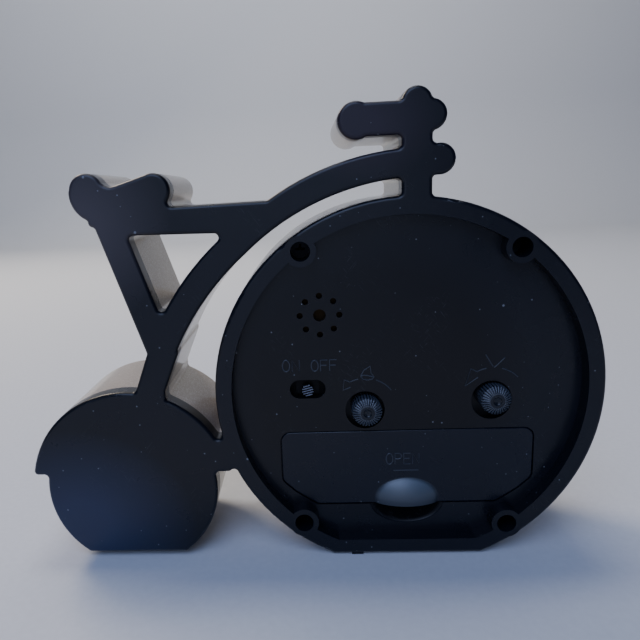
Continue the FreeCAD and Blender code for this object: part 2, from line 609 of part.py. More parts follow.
def wider_door(name, gap):
    """The door's outline with an even gap all round."""
    return offset(name, door_outline(name + "_inner"), gap)


def battery_door():
    """The flush door, with two tabs under the floor's upper edge and half a thumb dome below."""
    blank = extrude("door_blank", door_outline("plate_outline"), DOOR_NEAR, FLOOR)
    plate = rounded("door_plate", blank, FLOOR, "door_round")
    egg = dome("door_egg", "door_low + thumb_crest", "thumb_half_width",
               "thumb_height - thumb_crest", "thumb_rise", "thumb_sink")
    keep = block("thumb_keep", "thumb_x - thumb_half_width", "thumb_x + thumb_half_width",
                 FLOOR + " - door_thick / 2", BACK, "door_low", "door_low + thumb_height + 1")
    thumb = common("door_thumb", egg, keep)
    tabs = []
    near, far = FLOOR_INSIDE + " - tab_gap - tab_thick", FLOOR_INSIDE + " - tab_gap"
    for i, sign in enumerate(("-", "")):
        left, right = "%stab_x - tab_width / 2" % sign, "%stab_x + tab_width / 2" % sign
        tabs.append(block("door_tab%d" % i, left, right, near, far, "door_high - tab_foot",
                          "door_high + tab_rise"))
        tabs.append(block("door_tab_root%d" % i, left, right, near, FLOOR + " - door_thick / 2",
                          "door_high - tab_foot", "door_high - tab_gap"))
    return part(fuse("door_whole", [plate, thumb] + tabs), "battery_door")


def case_screws():
    """Four screws, each seated at the bottom of a deep boss."""
    screws = []
    top = BOSS_BOTTOM + " + screw_head_height"
    arms = [("cross_half_length", "cross_half_width"), ("cross_half_width", "cross_half_length")]
    for i, (x, z) in enumerate(BOSSES):
        head = rod("case_head%d" % i, "screw_head", BOSS_BOTTOM, top, x, z)
        shank = rod("case_shank%d" % i, "screw_shank", BOSS_BOTTOM + " - screw_length", BOSS_BOTTOM, x, z)
        cross = [block("case_cross%d_%d" % (i, k), "%s - %s" % (x, wide), "%s + %s" % (x, wide),
                       top + " - screw_head_height / 2", top + " + 1",
                       "%s - %s" % (z, tall), "%s + %s" % (z, tall))
                 for k, (wide, tall) in enumerate(arms)]
        screws.append(cut("case_screw%d" % i, fuse("case_bolt%d" % i, [head, shank]), cross))
    return part(group("case_screw_set", screws), "case_screws")


def front_glass():
    """The clear lens, the ring behind it and the dial with its hour marks."""
    seat = BORE + " - glass_gap"
    disc_body("lens", seat, None, LENS_NEAR, LENS_FAR)
    disc_body("inner_bezel", seat, seat + " - ring_width", LENS_FAR, DIAL_NEAR)
    disc_body("dial", seat, "dial_hole", DIAL_NEAR, DIAL_FAR)
    marks = []
    outer = "(drum_radius - bezel_width - mark_inset)"
    for i in range(HOURS):
        mark = doc.addObject("Part::Box", "mark%d" % i)
        bind(mark, Length="mark_width", Width="mark_thick", Height="mark_length")
        angle = i * 360.0 / HOURS
        turn = Rotation(Vector(0, 1, 0), angle)
        shift = "(%s - mark_length)" % outer
        place(mark, "%s * sin(%g) - mark_width / 2 * cos(%g)" % (shift, angle, angle),
              DIAL_NEAR + " - mark_thick",
              "drum_height + %s * cos(%g) + mark_width / 2 * sin(%g)" % (shift, angle, angle), turn)
        marks.append(mark)
    part(group("mark_set", marks), "dial_marks")


# ---- the gears and arbors -------------------------------------------------------------------
def gear_outline(teeth, module, start):
    """A closed wire of short teeth about the Y axis, its first tooth at the angle start."""
    pitch = module * teeth / 2
    step = 2 * math.pi / teeth
    tip, root = pitch + TOOTH_TIP * module, pitch - TOOTH_ROOT * module
    half_root, half_tip = ROOT_SHARE * step, TIP_SHARE * step * pitch / tip
    spots = []
    for i in range(teeth):
        middle = math.radians(start) + i * step
        for radius, turn in ((root, -half_root), (tip, -half_tip), (tip, half_tip), (root, half_root)):
            spots.append(Vector(radius * math.cos(middle + turn), 0, radius * math.sin(middle + turn)))
    spots.append(spots[0])
    return Part.makePolygon(spots)


def toothed(teeth, module, near, thick, start=0.0):
    """A gear wheel along Y."""
    wire = gear_outline(teeth, module, start)
    wire.translate(Vector(0, near, 0))
    return Part.Face(wire).extrude(Vector(0, thick, 0))


def round_bar(radius, near, far):
    """A plain cylinder along Y."""
    return Part.makeCylinder(radius, far - near, Vector(0, near, 0), Vector(0, 1, 0))


def arbor(label, solids, bores, x, z):
    """One turning piece, fused from gears, discs and bars, and bored through."""
    whole = solids[0].multiFuse(solids[1:]) if len(solids) > 1 else solids[0]
    for bore in bores:
        whole = whole.cut(bore)
    shape = doc.addObject("Part::Feature", label + "_turned")
    shape.Shape = whole.removeSplitter()
    shape.Placement = Placement(Vector(x, 0, z), Rotation())
    return part(shape, label)


def mesh_start(teeth_a, start_a, teeth_b, angle):
    """The first tooth's angle on gear b that puts its gap on gear a's tooth."""
    past_tooth = (angle - start_a) * teeth_a / 360.0
    return angle + 180.0 - (0.5 - past_tooth) * 360.0 / teeth_b


def polar(distance, angle):
    """A step of a given length and direction in the XZ plane."""
    return distance * math.cos(math.radians(angle)), distance * math.sin(math.radians(angle))


def direction(x, z):
    """The angle of a step in the XZ plane."""
    return math.degrees(math.atan2(z, x))


def spacing(first, second, module):
    """The distance between the axes of two meshed gears."""
    return module * (TEETH[first] + TEETH[second]) / 2


def going_train():
    """Rotor, intermediate, second, third and centre wheels: one turn a minute to one an hour."""
    height, module = value("drum_height"), value("train_module")
    second_module = value("second_module")
    thin, thick = value("thin_gear"), value("gear_thick")
    front, back, thin_bar = value("arbor_front"), value("arbor_back"), value("arbor_radius")
    third_far = spacing("second_pinion", "third_wheel", module)
    third_angle = value("third_angle")
    third_x, third_z = polar(third_far, third_angle)
    middle_angle = value("intermediate_angle")
    middle_x, middle_z = polar(spacing("intermediate_pinion", "second_wheel", second_module), middle_angle)
    rotor_angle = value("rotor_angle")
    step_x, step_z = polar(spacing("rotor", "intermediate_wheel", module), rotor_angle)
    centre_module = 2 * third_far / (TEETH["third_pinion"] + TEETH["centre_wheel"])

    second_teeth = mesh_start(TEETH["intermediate_pinion"], 0.0, TEETH["second_wheel"],
                              middle_angle + 180.0)
    third_teeth = mesh_start(TEETH["second_pinion"], 0.0, TEETH["third_wheel"], third_angle)
    centre_teeth = mesh_start(TEETH["third_pinion"], 0.0, TEETH["centre_wheel"], third_angle + 180.0)
    rotor_teeth = mesh_start(TEETH["intermediate_wheel"], 0.0, TEETH["rotor"], rotor_angle)
    gap = value("pipe_gap")
    second = value("second_arbor")
    hand_near = HAND_LEVELS["second"]
    arbor("second_wheel", [
        toothed(TEETH["second_wheel"], second_module, value("second_layer"), thin, second_teeth),
        toothed(TEETH["second_pinion"], module, value("third_layer"), thick),
        round_bar(second, hand_near, back)], [], 0.0, height)
    arbor("third_wheel", [
        toothed(TEETH["third_wheel"], module, value("third_layer"), thick, third_teeth),
        toothed(TEETH["third_pinion"], centre_module, value("centre_layer"), thick),
        round_bar(thin_bar, front, back)], [], third_x, height + third_z)
    arbor("centre_wheel", [
        toothed(TEETH["centre_wheel"], centre_module, value("centre_layer"), thick, centre_teeth)],
        [round_bar(second + gap, value("centre_layer") - 1, value("centre_layer") + 2)], 0.0, height)
    arbor("intermediate_wheel", [
        toothed(TEETH["intermediate_wheel"], module, value("rotor_layer"), thin),
        toothed(TEETH["intermediate_pinion"], second_module, value("second_layer"), thin),
        round_bar(thin_bar, front, back)], [], middle_x, height + middle_z)
    near = value("magnet_near")
    arbor("rotor", [
        toothed(TEETH["rotor"], module, value("rotor_layer"), thin, rotor_teeth),
        round_bar(value("magnet_radius"), near, near + value("magnet_thick")),
        round_bar(thin_bar, front, back)], [], middle_x + step_x, height + middle_z + step_z)
    return {"third": (third_x, third_z), "intermediate": (middle_x, middle_z),
            "rotor": (middle_x + step_x, middle_z + step_z)}


def hand_levels():
    """The front face of each hand: they share the room between the dial and the lens."""
    names = ("alarm", "hour", "minute", "second")
    thick = value("hand_thick")
    free = value(DIAL_NEAR) - value(LENS_FAR) - len(names) * thick
    near = value(DIAL_NEAR) - value("dial_clear_share") * free - thick
    levels = {}
    for name in names:
        levels[name] = near
        near -= thick + value("hand_gap_share") * free
    return levels


HAND_LEVELS = hand_levels()


def setting_train():
    """Cannon pinion, minute wheel, hour wheel, idler and the time-set shaft."""
    height, module = value("drum_height"), value("set_module")
    thick, gap = value("gear_thick"), value("pipe_gap")
    layer, upper = value("set_layer"), value("hour_layer")
    wheel_angle = value("minute_wheel_angle")
    wheel_x, wheel_z = polar(spacing("cannon", "minute_wheel", module), wheel_angle)
    shaft_x, shaft_z = value("time_set_x"), value("time_set") - height
    near_side = spacing("minute_wheel", "idler", module)
    far_side = spacing("idler", "time_set", module)
    reach = math.hypot(shaft_x - wheel_x, shaft_z - wheel_z)
    along = (near_side ** 2 - far_side ** 2 + reach ** 2) / (2 * reach)
    aside = math.sqrt(near_side ** 2 - along ** 2)
    to_shaft = direction(shaft_x - wheel_x, shaft_z - wheel_z)
    idler_angle = to_shaft + math.degrees(math.atan2(aside, along))
    step_x, step_z = polar(near_side, idler_angle)
    idler_x, idler_z = wheel_x + step_x, wheel_z + step_z
    shaft_angle = direction(shaft_x - idler_x, shaft_z - idler_z)

    wheel_teeth = mesh_start(TEETH["cannon"], 0.0, TEETH["minute_wheel"], wheel_angle)
    idler_teeth = mesh_start(TEETH["minute_wheel"], wheel_teeth, TEETH["idler"], idler_angle)
    shaft_teeth = mesh_start(TEETH["idler"], idler_teeth, TEETH["time_set"], shaft_angle)
    hour_module = 2 * math.hypot(wheel_x, wheel_z) / (TEETH["minute_pinion"] + TEETH["hour_wheel"])
    hour_teeth = mesh_start(TEETH["minute_pinion"], 0.0, TEETH["hour_wheel"], wheel_angle + 180.0)

    second, cannon, hour = value("second_arbor"), value("cannon_pipe"), value("hour_pipe")
    arbor("cannon_pinion", [
        toothed(TEETH["cannon"], module, layer, thick),
        round_bar(cannon, HAND_LEVELS["minute"], value("centre_layer"))],
        [round_bar(second + gap, HAND_LEVELS["minute"] - 1, 1.0)], 0.0, height)
    arbor("hour_wheel", [
        toothed(TEETH["hour_wheel"], hour_module, upper, thick, hour_teeth),
        round_bar(hour, HAND_LEVELS["hour"], upper + thick)],
        [round_bar(cannon + gap, HAND_LEVELS["hour"] - 1, 1.0)], 0.0, height)
    post = value("post_radius") + value("post_gap")
    arbor("minute_wheel", [
        toothed(TEETH["minute_wheel"], module, layer, thick, wheel_teeth),
        toothed(TEETH["minute_pinion"], hour_module, upper, layer - upper)],
        [round_bar(value("arbor_radius") + value("post_gap"), upper - 1, 1.0)], wheel_x, height + wheel_z)
    arbor("idler_wheel", [toothed(TEETH["idler"], module, layer, thick, idler_teeth)],
          [round_bar(post, layer - 1, 1.0)], idler_x, height + idler_z)
    arbor("time_set_shaft", [
        toothed(TEETH["time_set"], module, layer, thick, shaft_teeth)] + shaft_bars(),
        [], shaft_x, height + shaft_z)
    return {"minute_wheel": (wheel_x, wheel_z), "idler": (idler_x, idler_z)}


def shaft_bars():
    """A set shaft: a pivot in the front case, then a thick bar out to the knob."""
    pivot_near = value("pivot_floor + pivot_end_gap - box_half_depth")
    return [round_bar(value("pivot_radius"), pivot_near, 0.0),
            round_bar(value("shaft_radius"), value("plate_front + plate_thick + shaft_step"),
                      value("knob_far - shaft_sink"))]


def alarm_train():
    """The alarm wheel and the shaft that sets it."""
    height, thick, layer = value("drum_height"), value("gear_thick"), value("alarm_layer")
    shaft_x, shaft_z = value("alarm_set_x"), value("alarm_set") - height
    angle = direction(shaft_x, shaft_z)
    module = 2 * math.hypot(shaft_x, shaft_z) / (TEETH["alarm_wheel"] + TEETH["alarm_set"])
    wheel_teeth = mesh_start(TEETH["alarm_set"], 0.0, TEETH["alarm_wheel"], angle + 180.0)
    hour, pipe, gap = value("hour_pipe"), value("alarm_pipe"), value("pipe_gap")
    arbor("alarm_wheel", [
        toothed(TEETH["alarm_wheel"], module, layer, thick, wheel_teeth),
        round_bar(pipe, HAND_LEVELS["alarm"], layer + thick)],
        [round_bar(hour + gap, HAND_LEVELS["alarm"] - 1, 1.0)], 0.0, height)
    arbor("alarm_set_shaft", [toothed(TEETH["alarm_set"], module, layer, thick)] + shaft_bars(),
          [], shaft_x, height + shaft_z)


def hand(name, pipe, reach, width, tail=0.0):
    """A flat pointed hand with a round eye on its pipe."""
    near, thick = HAND_LEVELS[name], value("hand_thick")
    eye = value(pipe) + value("hub_extra")
    far, half, back = value(reach), value(width) / 2, -(tail or eye)
    angle = math.radians(REST_ANGLES[name])
    bend = far * HAND_SHOULDER
    corners = [(-half, back), (-half, bend), (0.0, far), (half, bend), (half, back)]
    spots = [Vector(x * math.cos(angle) + z * math.sin(angle), near,
                    -x * math.sin(angle) + z * math.cos(angle)) for x, z in corners]
    blade = Part.Face(Part.makePolygon(spots + spots[:1])).extrude(Vector(0, thick, 0))
    solid = blade.fuse(round_bar(eye, near, near + thick))
    arbor(name + "_hand", [solid], [round_bar(value(pipe), near - 1, near + thick + 1)],
          0.0, value("drum_height"))


def hands():
    """The four hands."""
    hand("alarm", "alarm_pipe", "alarm_reach", "alarm_width")
    hand("hour", "hour_pipe", "hour_reach", "hour_width")
    hand("minute", "cannon_pipe", "minute_reach", "minute_width")
    hand("second", "second_arbor", "second_reach", "second_width", value("second_tail"))


def knob(label, x, z):
    """A ribbed knob with a bevelled crown and a dimple, bored for its shaft."""
    near, shoulder, far = value("knob_near"), value("knob_shoulder"), value("knob_far")
    wide, top, depth = value("knob_radius"), value("knob_top"), value("rib_depth")

    def star(radius, level, sink):
        spots = []
        for i in range(2 * KNOB_RIBS):
            angle = math.pi * i / KNOB_RIBS
            reach = radius - (sink if i % 2 else 0.0)
            spots.append(Vector(reach * math.cos(angle), level, reach * math.sin(angle)))
        return Part.makePolygon(spots + spots[:1])

    skirt = Part.makeLoft([star(wide, near, depth), star(wide, shoulder, depth)], True, True)
    crown = Part.makeLoft([star(wide, shoulder, depth), star(top, far, depth / 2)], True, True)
    dimple = round_bar(value("dimple_radius"), far - value("dimple_depth"), far + 1)
    bore = round_bar(value("shaft_radius"), near - 1, far - value("shaft_sink"))
    return arbor(label, [skirt, crown], [dimple, bore], value(x), value(z))


# ---- the movement's case and electrics ------------------------------------------------------
def inner_box(name, near, far, shrink="box_wall"):
    """The room inside the movement's box between two Y levels."""
    return block(name, "-box_half_width + (%s)" % shrink, "box_half_width - (%s)" % shrink, near, far,
                 "box_low + (%s)" % shrink, "box_high - (%s)" % shrink)


def box_screw_places():
    """The corners of the movement where its own screws sit."""
    for sign in ("-", ""):
        for level in ("box_low + box_wall + box_screw_inset", "box_high - box_wall - box_screw_inset"):
            yield "%s(box_half_width - box_wall - box_screw_inset)" % sign, level


BOX_SCREWS = list(box_screw_places())
CASE_FRONT = "-box_half_depth"
PLATE_BACK = "plate_front + plate_thick"
STATOR_LEFT = "stator_inset + box_wall - box_half_width"


def movement_front():
    """The movement's front case, with two ears that are screwed to the front shell."""
    outside = block("front_box", "-box_half_width", "box_half_width", CASE_FRONT, "box_split",
                    "box_low", "box_high")
    ears = [block("ear_bar", "-ear_radius_at", "ear_radius_at", CASE_FRONT, CASE_FRONT + " + ear_thick",
                  "drum_height - ear_width / 2", "drum_height + ear_width / 2")]
    for i, (x, z) in enumerate(EARS):
        ears.append(rod("ear_eye%d" % i, "ear_pillar", CASE_FRONT, CASE_FRONT + " + ear_thick", x, z))
    shelf = [rod("front_post%d" % i, "box_post", CASE_FRONT, "plate_front", x, z)
             for i, (x, z) in enumerate(BOX_SCREWS)]
    hollow = cut("front_tray", fuse("front_outside", [outside] + ears),
                 [inner_box("front_room", CASE_FRONT + " + box_face", "box_split + 1")])
    cuts = [rod("front_pipe_hole", "alarm_pipe + pipe_gap", CASE_FRONT + " - 1", "0", z="drum_height")]
    for i, (x, z) in enumerate(SHAFTS):
        cuts.append(rod("front_pivot%d" % i, "pivot_radius + pipe_gap", CASE_FRONT + " + pivot_floor",
                        "0", x, z))
    for i, (x, z) in enumerate(BOX_SCREWS):
        cuts.append(rod("front_thread%d" % i, "small_hole", CASE_FRONT + " + box_face", "0", x, z))
    for i, (x, z) in enumerate(EARS):
        cuts.append(rod("ear_hole%d" % i, "small_hole", CASE_FRONT + " - 1", "0", x, z))
    return part(cut("front_finished", fuse("front_whole", [hollow] + shelf), cuts), "movement_front")


def train_plate(places):
    """The plate between the hand gears and the going train, with posts for two wheels."""
    wheel_x, wheel_z = places["minute_wheel"]
    idler_x, idler_z = places["idler"]
    height = value("drum_height")
    sheet_ = inner_box("plate_sheet", "plate_front", PLATE_BACK, "box_wall + plate_gap")
    minute_post = rod("minute_post", "arbor_radius", "hour_layer - minute_post_rise", "plate_front")
    idler_post = rod("idler_post", "post_radius", "set_layer - idler_post_rise", "plate_front")
    posts = [move_axis(minute_post, wheel_x, height + wheel_z),
             move_axis(idler_post, idler_x, height + idler_z)]
    before = "plate_front - 1"
    cuts = [rod("plate_centre", "cannon_pipe + pipe_gap", before, "0", z="drum_height")]
    for i, (x, z) in enumerate(SHAFTS):
        cuts.append(rod("plate_shaft%d" % i, "shaft_radius + plate_bore_gap", before, "0", x, z))
    for name in ("third", "intermediate", "rotor"):
        hole = rod("plate_%s" % name, "arbor_radius + post_gap", before, "0")
        cuts.append(move_axis(hole, places[name][0], height + places[name][1]))
    for i, (x, z) in enumerate(BOX_SCREWS):
        cuts.append(rod("plate_screw%d" % i, "small_hole", before, "0", x, z))
    return part(cut("plate_finished", fuse("plate_whole", [sheet_] + posts), cuts), "train_plate")


def movement_back(places):
    """The movement's back case, bored for the arbors, the set shafts and the switch."""
    outside = block("back_box", "-box_half_width", "box_half_width", "box_split", "box_half_depth",
                    "box_low", "box_high")
    room = inner_box("back_room", "box_split - 1", "box_half_depth - box_wall")
    posts = [rod("back_post%d" % i, "box_post", "box_split", "box_half_depth", x, z)
             for i, (x, z) in enumerate(BOX_SCREWS)]
    posts += [rod("back_stub%d" % i, "box_screw_inset - plate_gap", PLATE_BACK, "box_split", x, z)
              for i, (x, z) in enumerate(BOX_SCREWS)]
    height = value("drum_height")
    stops = [block("stator_stop%d" % i, x, x + " + stop_width", "stator_near + stator_thick",
                   "box_half_depth", "box_low + box_wall + stop_low", "box_low + box_wall + stop_high")
             for i, x in enumerate([STATOR_LEFT + " + stop_inset", "%g + stator_hole" % places["rotor"][0]])]
    board_posts = [rod("board_post%d" % i, "board_post", "board_near + board_thick", "box_half_depth",
                       "board_left + board_post_inset",
                       "drum_height %s (board_half_height - board_post_inset)" % sign)
                   for i, sign in enumerate("+-")]
    past = "box_half_depth + 1"
    cuts = [block("switch_window", "slot_x - switch_half_width - switch_gap",
                  "slot_x + switch_half_width + switch_gap", "box_split", past,
                  "slot - switch_half_height - switch_gap", "slot + switch_half_height + switch_gap")]
    for i, (x, z) in enumerate(SHAFTS):
        cuts.append(rod("back_shaft%d" % i, "shaft_radius + shaft_gap", "box_split", past, x, z))
    for name in ("third", "intermediate", "rotor", "second"):
        radius = "second_arbor" if name == "second" else "arbor_radius"
        hole = rod("back_%s" % name, radius + " + post_gap", "box_split", "arbor_back + pivot_room")
        x, z = places.get(name, (0.0, 0.0))
        cuts.append(move_axis(hole, x, height + z))
    for i, (x, z) in enumerate(BOX_SCREWS):
        cuts.append(rod("back_screw%d" % i, "small_hole", "plate_front - 1", past, x, z))
    hollow = cut("back_tray", outside, [room])
    whole = fuse("back_whole", [hollow] + posts + stops + board_posts)
    return part(cut("back_finished", whole, cuts), "movement_back")


def small_screws():
    """The screws that close the movement and the two that hold its ears."""
    closing = []
    for i, (x, z) in enumerate(BOX_SCREWS):
        closing.append(fuse("box_screw%d" % i, [
            rod("box_head%d" % i, "small_head", "box_half_depth",
                "box_half_depth + small_head_height", x, z),
            rod("box_shank%d" % i, "small_shank", CASE_FRONT + " + box_face + screw_floor",
                "box_half_depth", x, z)]))
    part(group("box_screw_set", closing), "movement_screws")
    fixing = []
    seat = CASE_FRONT + " + ear_thick"
    for i, (x, z) in enumerate(EARS):
        fixing.append(fuse("ear_screw%d" % i, [
            rod("ear_head%d" % i, "small_head", seat, seat + " + small_head_height", x, z),
            rod("ear_shank%d" % i, "small_shank", seat + " - small_length", seat, x, z)]))
    part(group("ear_screw_set", fixing), "mounting_screws")


def motor(places):
    """The stator with its core, and the coil on a bobbin round the core."""
    rotor_x, rotor_z = places["rotor"]
    height = value("drum_height")
    pole_left = "(%g - stator_pole)" % rotor_x
    pole_right = "(%g + stator_hole + stator_bridge)" % rotor_x
    low = "(box_low + box_wall + stator_gap)"
    high = "(drum_height + %g + stator_hole + stator_crown)" % rotor_z
    core = "(drum_height + %g - coil_drop)" % rotor_z
    near, far = "stator_near", "stator_near + stator_thick"
    plates = [
        block("stator_leg", STATOR_LEFT, STATOR_LEFT + " + stator_leg", near, far, low, high),
        block("stator_pole", pole_left, pole_right, near, far, low, high),
        block("stator_core", STATOR_LEFT, pole_left + " + core_root", near, far,
              core + " - core_height / 2", core + " + core_height / 2")]
    hole = move_axis(rod("stator_bore", "stator_hole", "stator_near - 1", far + " + 1"),
                     rotor_x, height + rotor_z)
    part(cut("stator_finished", fuse("stator_whole", plates), [hole]), "stator")

    left = STATOR_LEFT + " + stator_leg + coil_clear"
    right = pole_left + " - coil_clear"
    middle = "stator_near + stator_thick / 2"
    tube = "stator_thick / 2 + bobbin_wall"
    window = block("bobbin_window", left + " - 1", right + " + 1",
                   near + " - bobbin_gap", far + " + bobbin_gap",
                   core + " - core_height / 2 - bobbin_gap", core + " + core_height / 2 + bobbin_gap")
    shell = fuse("bobbin_whole", [
        rod_x("bobbin_tube", tube, left, right, middle, core),
        rod_x("bobbin_left", "coil_radius", left, left + " + bobbin_flange", middle, core),
        rod_x("bobbin_right", "coil_radius", right + " - bobbin_flange", right, middle, core)])
    part(cut("bobbin_finished", shell, [window]), "coil_bobbin")
    winding = rod_x("coil_rod", "coil_radius - coil_inset", left + " + bobbin_flange",
                    right + " - bobbin_flange", middle, core)
    hollow = rod_x("coil_hollow", tube, left, right, middle, core)
    part(cut("coil_finished", winding, [hollow]), "coil")


def electrics():
    """The board, its chip and crystal, the slide switch and the buzzer."""
    board_far = "board_near + board_thick"
    inside = "box_half_width - box_wall - plate_gap"
    part(block("board_block", "board_left", inside, "board_near", board_far,
               "drum_height - board_half_height", "drum_height + board_half_height"), "circuit_board")
    part(rod("chip_rod", "chip_radius", board_far, board_far + " + chip_thick",
             "slot_x - switch_half_width - chip_radius - chip_gap", "drum_height + chip_rise"),
         "clock_chip")
    crystal_left = "board_left + crystal_inset"
    part(rod_x("crystal_rod", "crystal_radius", crystal_left, crystal_left + " + crystal_length",
               board_far + " + crystal_radius", "drum_height - board_half_height + crystal_rise"),
         "quartz_crystal")
    part(block("switch_block", "slot_x - switch_half_width", "slot_x + switch_half_width", board_far,
               "switch_far", "slot - switch_half_height", "slot + switch_half_height"), "switch_body")
    slide = block("slider_slab", "slot_x - slider_half_width", "slot_x + slider_half_width", "switch_far",
                  "switch_far + slider_thick", "slot - slider_half_height", "slot + slider_half_height")
    button = rod("slider_button", "button_radius", "switch_far", "button_far", "slot_x",
                 "slot - button_drop")
    part(fuse("slider_whole", [slide, button]), "switch_slider")
    disc_far = FLOOR_INSIDE + " - holder_ledge"
    disc_near = disc_far + " - buzzer_thick"
    disc = rod("buzzer_disc", "buzzer_radius", disc_near, disc_far, "grille_x", "grille")
    ceramic = rod("buzzer_ceramic", "ceramic_radius", disc_near + " - ceramic_thick", disc_near,
                  "grille_x", "grille")
    part(fuse("buzzer_whole", [disc, ceramic]), "buzzer")


def battery_set():
    """One AA cell with a flat contact at its button and a coiled one at its other end."""
    cell_left = "bay_left + contact_thick + spring_room"
    cell_right = cell_left + " + battery_length"
    can = rod_x("cell_can", "battery_radius", cell_left, cell_right, CELL_MID, BAY_MID)
    nub = rod_x("cell_nub", "battery_nub_radius", cell_right, cell_right + " + battery_nub",
                CELL_MID, BAY_MID)
    part(fuse("cell_whole", [can, nub]), "battery")
    half = "contact_size / 2"
    near, far = CELL_MID + " - " + half, CELL_MID + " + " + half
    low, high = BAY_MID + " - " + half, BAY_MID + " + " + half
    part(block("plate_contact", "bay_right - contact_thick", "bay_right", near, far, low, high),
         "battery_plate")
    base = block("spring_base", "bay_left", "bay_left + contact_thick", near, far, low, high)
    rings = []
    for i in range(SPRING_RINGS):
        ring = doc.addObject("Part::Torus", "spring_ring%d" % i)
        bind(ring, Radius1="spring_radius - %d * spring_taper" % i, Radius2="spring_wire")
        place(ring, "bay_left + contact_thick + spring_lift + %d * spring_pitch" % i, CELL_MID,
              BAY_MID, ALONG_X)
        rings.append(ring)
    part(fuse("spring_whole", [base] + rings), "battery_spring")


# ---- build, check and write -----------------------------------------------------------------
def build():
    """Make every sub-part."""
    front_shell()
    rear_cover()
    battery_door()
    case_screws()
    front_glass()
    places = going_train()
    places.update(setting_train())
    alarm_train()
    hands()
    knob("time_set_knob", "time_set_x", "time_set")
    knob("alarm_set_knob", "alarm_set_x", "alarm_set")
    movement_front()
    train_plate(places)
    movement_back(places)
    small_screws()
    motor(places)
    electrics()
    battery_set()
    doc.recompute()


def check():
    """Stop at any object that failed, or any sub-part without a sound shape."""
    for item in doc.Objects:
        if {"Invalid", "Error"} & set(item.State):
            raise RuntimeError("%s failed" % item.Name)
    for item in PARTS:
        if item.Shape.isNull() or not item.Shape.isValid():
            raise RuntimeError("%s has no sound shape" % item.Label)


def write():
    """Write each sub-part as a STEP file named after its label."""
    os.makedirs("parts", exist_ok=True)
    for item in PARTS:
        item.Shape.exportStep("parts/%s.step" % item.Label)
        print("%-18s solids %2d  volume %9.2f" % (item.Label, len(item.Shape.Solids), item.Shape.Volume))


build()
check()
write()
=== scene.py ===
"""The looks of a bicycle-shaped battery alarm clock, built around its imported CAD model.

Everything is in metres in the model's own frame: +Z up, the dial faces -Y, and the back with its
battery door faces +Y. Sizes are written in millimetres and turned to metres by MM.
"""

import logging
import math
from dataclasses import dataclass, field
from enum import Enum
from typing import Iterable, Union

import bmesh
import bpy
from mathutils import Matrix, Vector


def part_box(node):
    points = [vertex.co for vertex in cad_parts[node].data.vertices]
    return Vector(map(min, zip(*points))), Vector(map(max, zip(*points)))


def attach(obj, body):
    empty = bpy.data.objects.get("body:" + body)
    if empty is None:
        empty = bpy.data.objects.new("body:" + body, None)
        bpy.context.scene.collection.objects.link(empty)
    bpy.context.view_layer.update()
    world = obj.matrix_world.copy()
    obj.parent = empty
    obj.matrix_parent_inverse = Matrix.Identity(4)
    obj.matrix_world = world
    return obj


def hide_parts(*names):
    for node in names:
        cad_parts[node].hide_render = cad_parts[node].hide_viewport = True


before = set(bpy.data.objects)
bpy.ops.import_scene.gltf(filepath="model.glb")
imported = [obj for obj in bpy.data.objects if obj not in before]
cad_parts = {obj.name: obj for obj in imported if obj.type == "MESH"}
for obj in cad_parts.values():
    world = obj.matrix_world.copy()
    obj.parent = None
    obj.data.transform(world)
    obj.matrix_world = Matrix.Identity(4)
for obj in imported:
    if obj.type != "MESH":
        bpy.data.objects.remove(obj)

LOG = logging.getLogger("clock")
MM = 0.001
DRUM_HEIGHT = 49.29
TRAY = 13.2
DIAL = -8.0

SocketValue = Union[float, tuple, bpy.types.NodeSocket]
Point = tuple[float, float]


class Body(Enum):
    """The CAD bodies that a piece may ride on."""

    CASE = "case"
    DOOR = "door"
    SWITCH = "switch"
    TIME_SET = "time_set"
    ALARM_SET = "alarm_set"


# ---- small helpers ---------------------------------------------------------------------------
def mm(x: float, y: float, z: float) -> Vector:
    """A point given in millimetres, in metres."""
    return Vector((x, y, z)) * MM


def linear(code: str) -> tuple[float, float, float, float]:
    """Turn an sRGB hex colour to linear light.

    Args:
        code: the colour as six hex digits.

    Returns:
        Red, green, blue and an alpha of 1.
    """
    parts = [int(code[i:i + 2], 16) / 255 for i in (0, 2, 4)]
    light = [c / 12.92 if c <= 0.04045 else ((c + 0.055) / 1.055) ** 2.4 for c in parts]
    return light[0], light[1], light[2], 1.0


def per(size_mm: float) -> float:
    """The texture scale at which one feature is about size_mm across."""
    return 1.0 / (size_mm * MM)


def add(tree: bpy.types.NodeTree, kind: str, inputs: dict[Union[int, str], SocketValue] | None = None,
        **settings: object) -> bpy.types.Node:
    """Add a node with its settings, its input values and the links into it.

    Args:
        tree: the shader or geometry tree.
        kind: the node's type name.
        inputs: a value or a socket for each input, by its name or number.
        settings: the node's own properties.

    Returns:
        The new node.
    """
    node = tree.nodes.new(kind)
    for name, setting in settings.items():
        setattr(node, name, setting)
    for key, given in (inputs or {}).items():
        socket = node.inputs[key]
        if isinstance(given, bpy.types.NodeSocket):
            tree.links.new(given, socket)
        else:
            socket.default_value = given
    return node


def fresh_tree(name: str) -> tuple[bpy.types.Material, bpy.types.NodeTree]:
    """A new material and its empty node tree."""
    material = bpy.data.materials.new(name)
    material.use_nodes = True
    material.node_tree.nodes.clear()
    return material, material.node_tree


# ---- finishes --------------------------------------------------------------------------------
@dataclass(frozen=True)
class Spot:
    """An oval place on a moulding, in millimetres, where a painted highlight, reflection or shade changes the
    colour.

    Its edge takes up the share soft of its reach. Where fades is set, its colour fades from its top to
    its bottom, so the painted highlight is lighter at the top.
    """

    centre: tuple[float, float, float]
    reach: tuple[float, float, float]
    colour: str
    roughness: float = 0.3
    sheen: float = 0.28
    soft: float = 0.16
    fades: bool = False


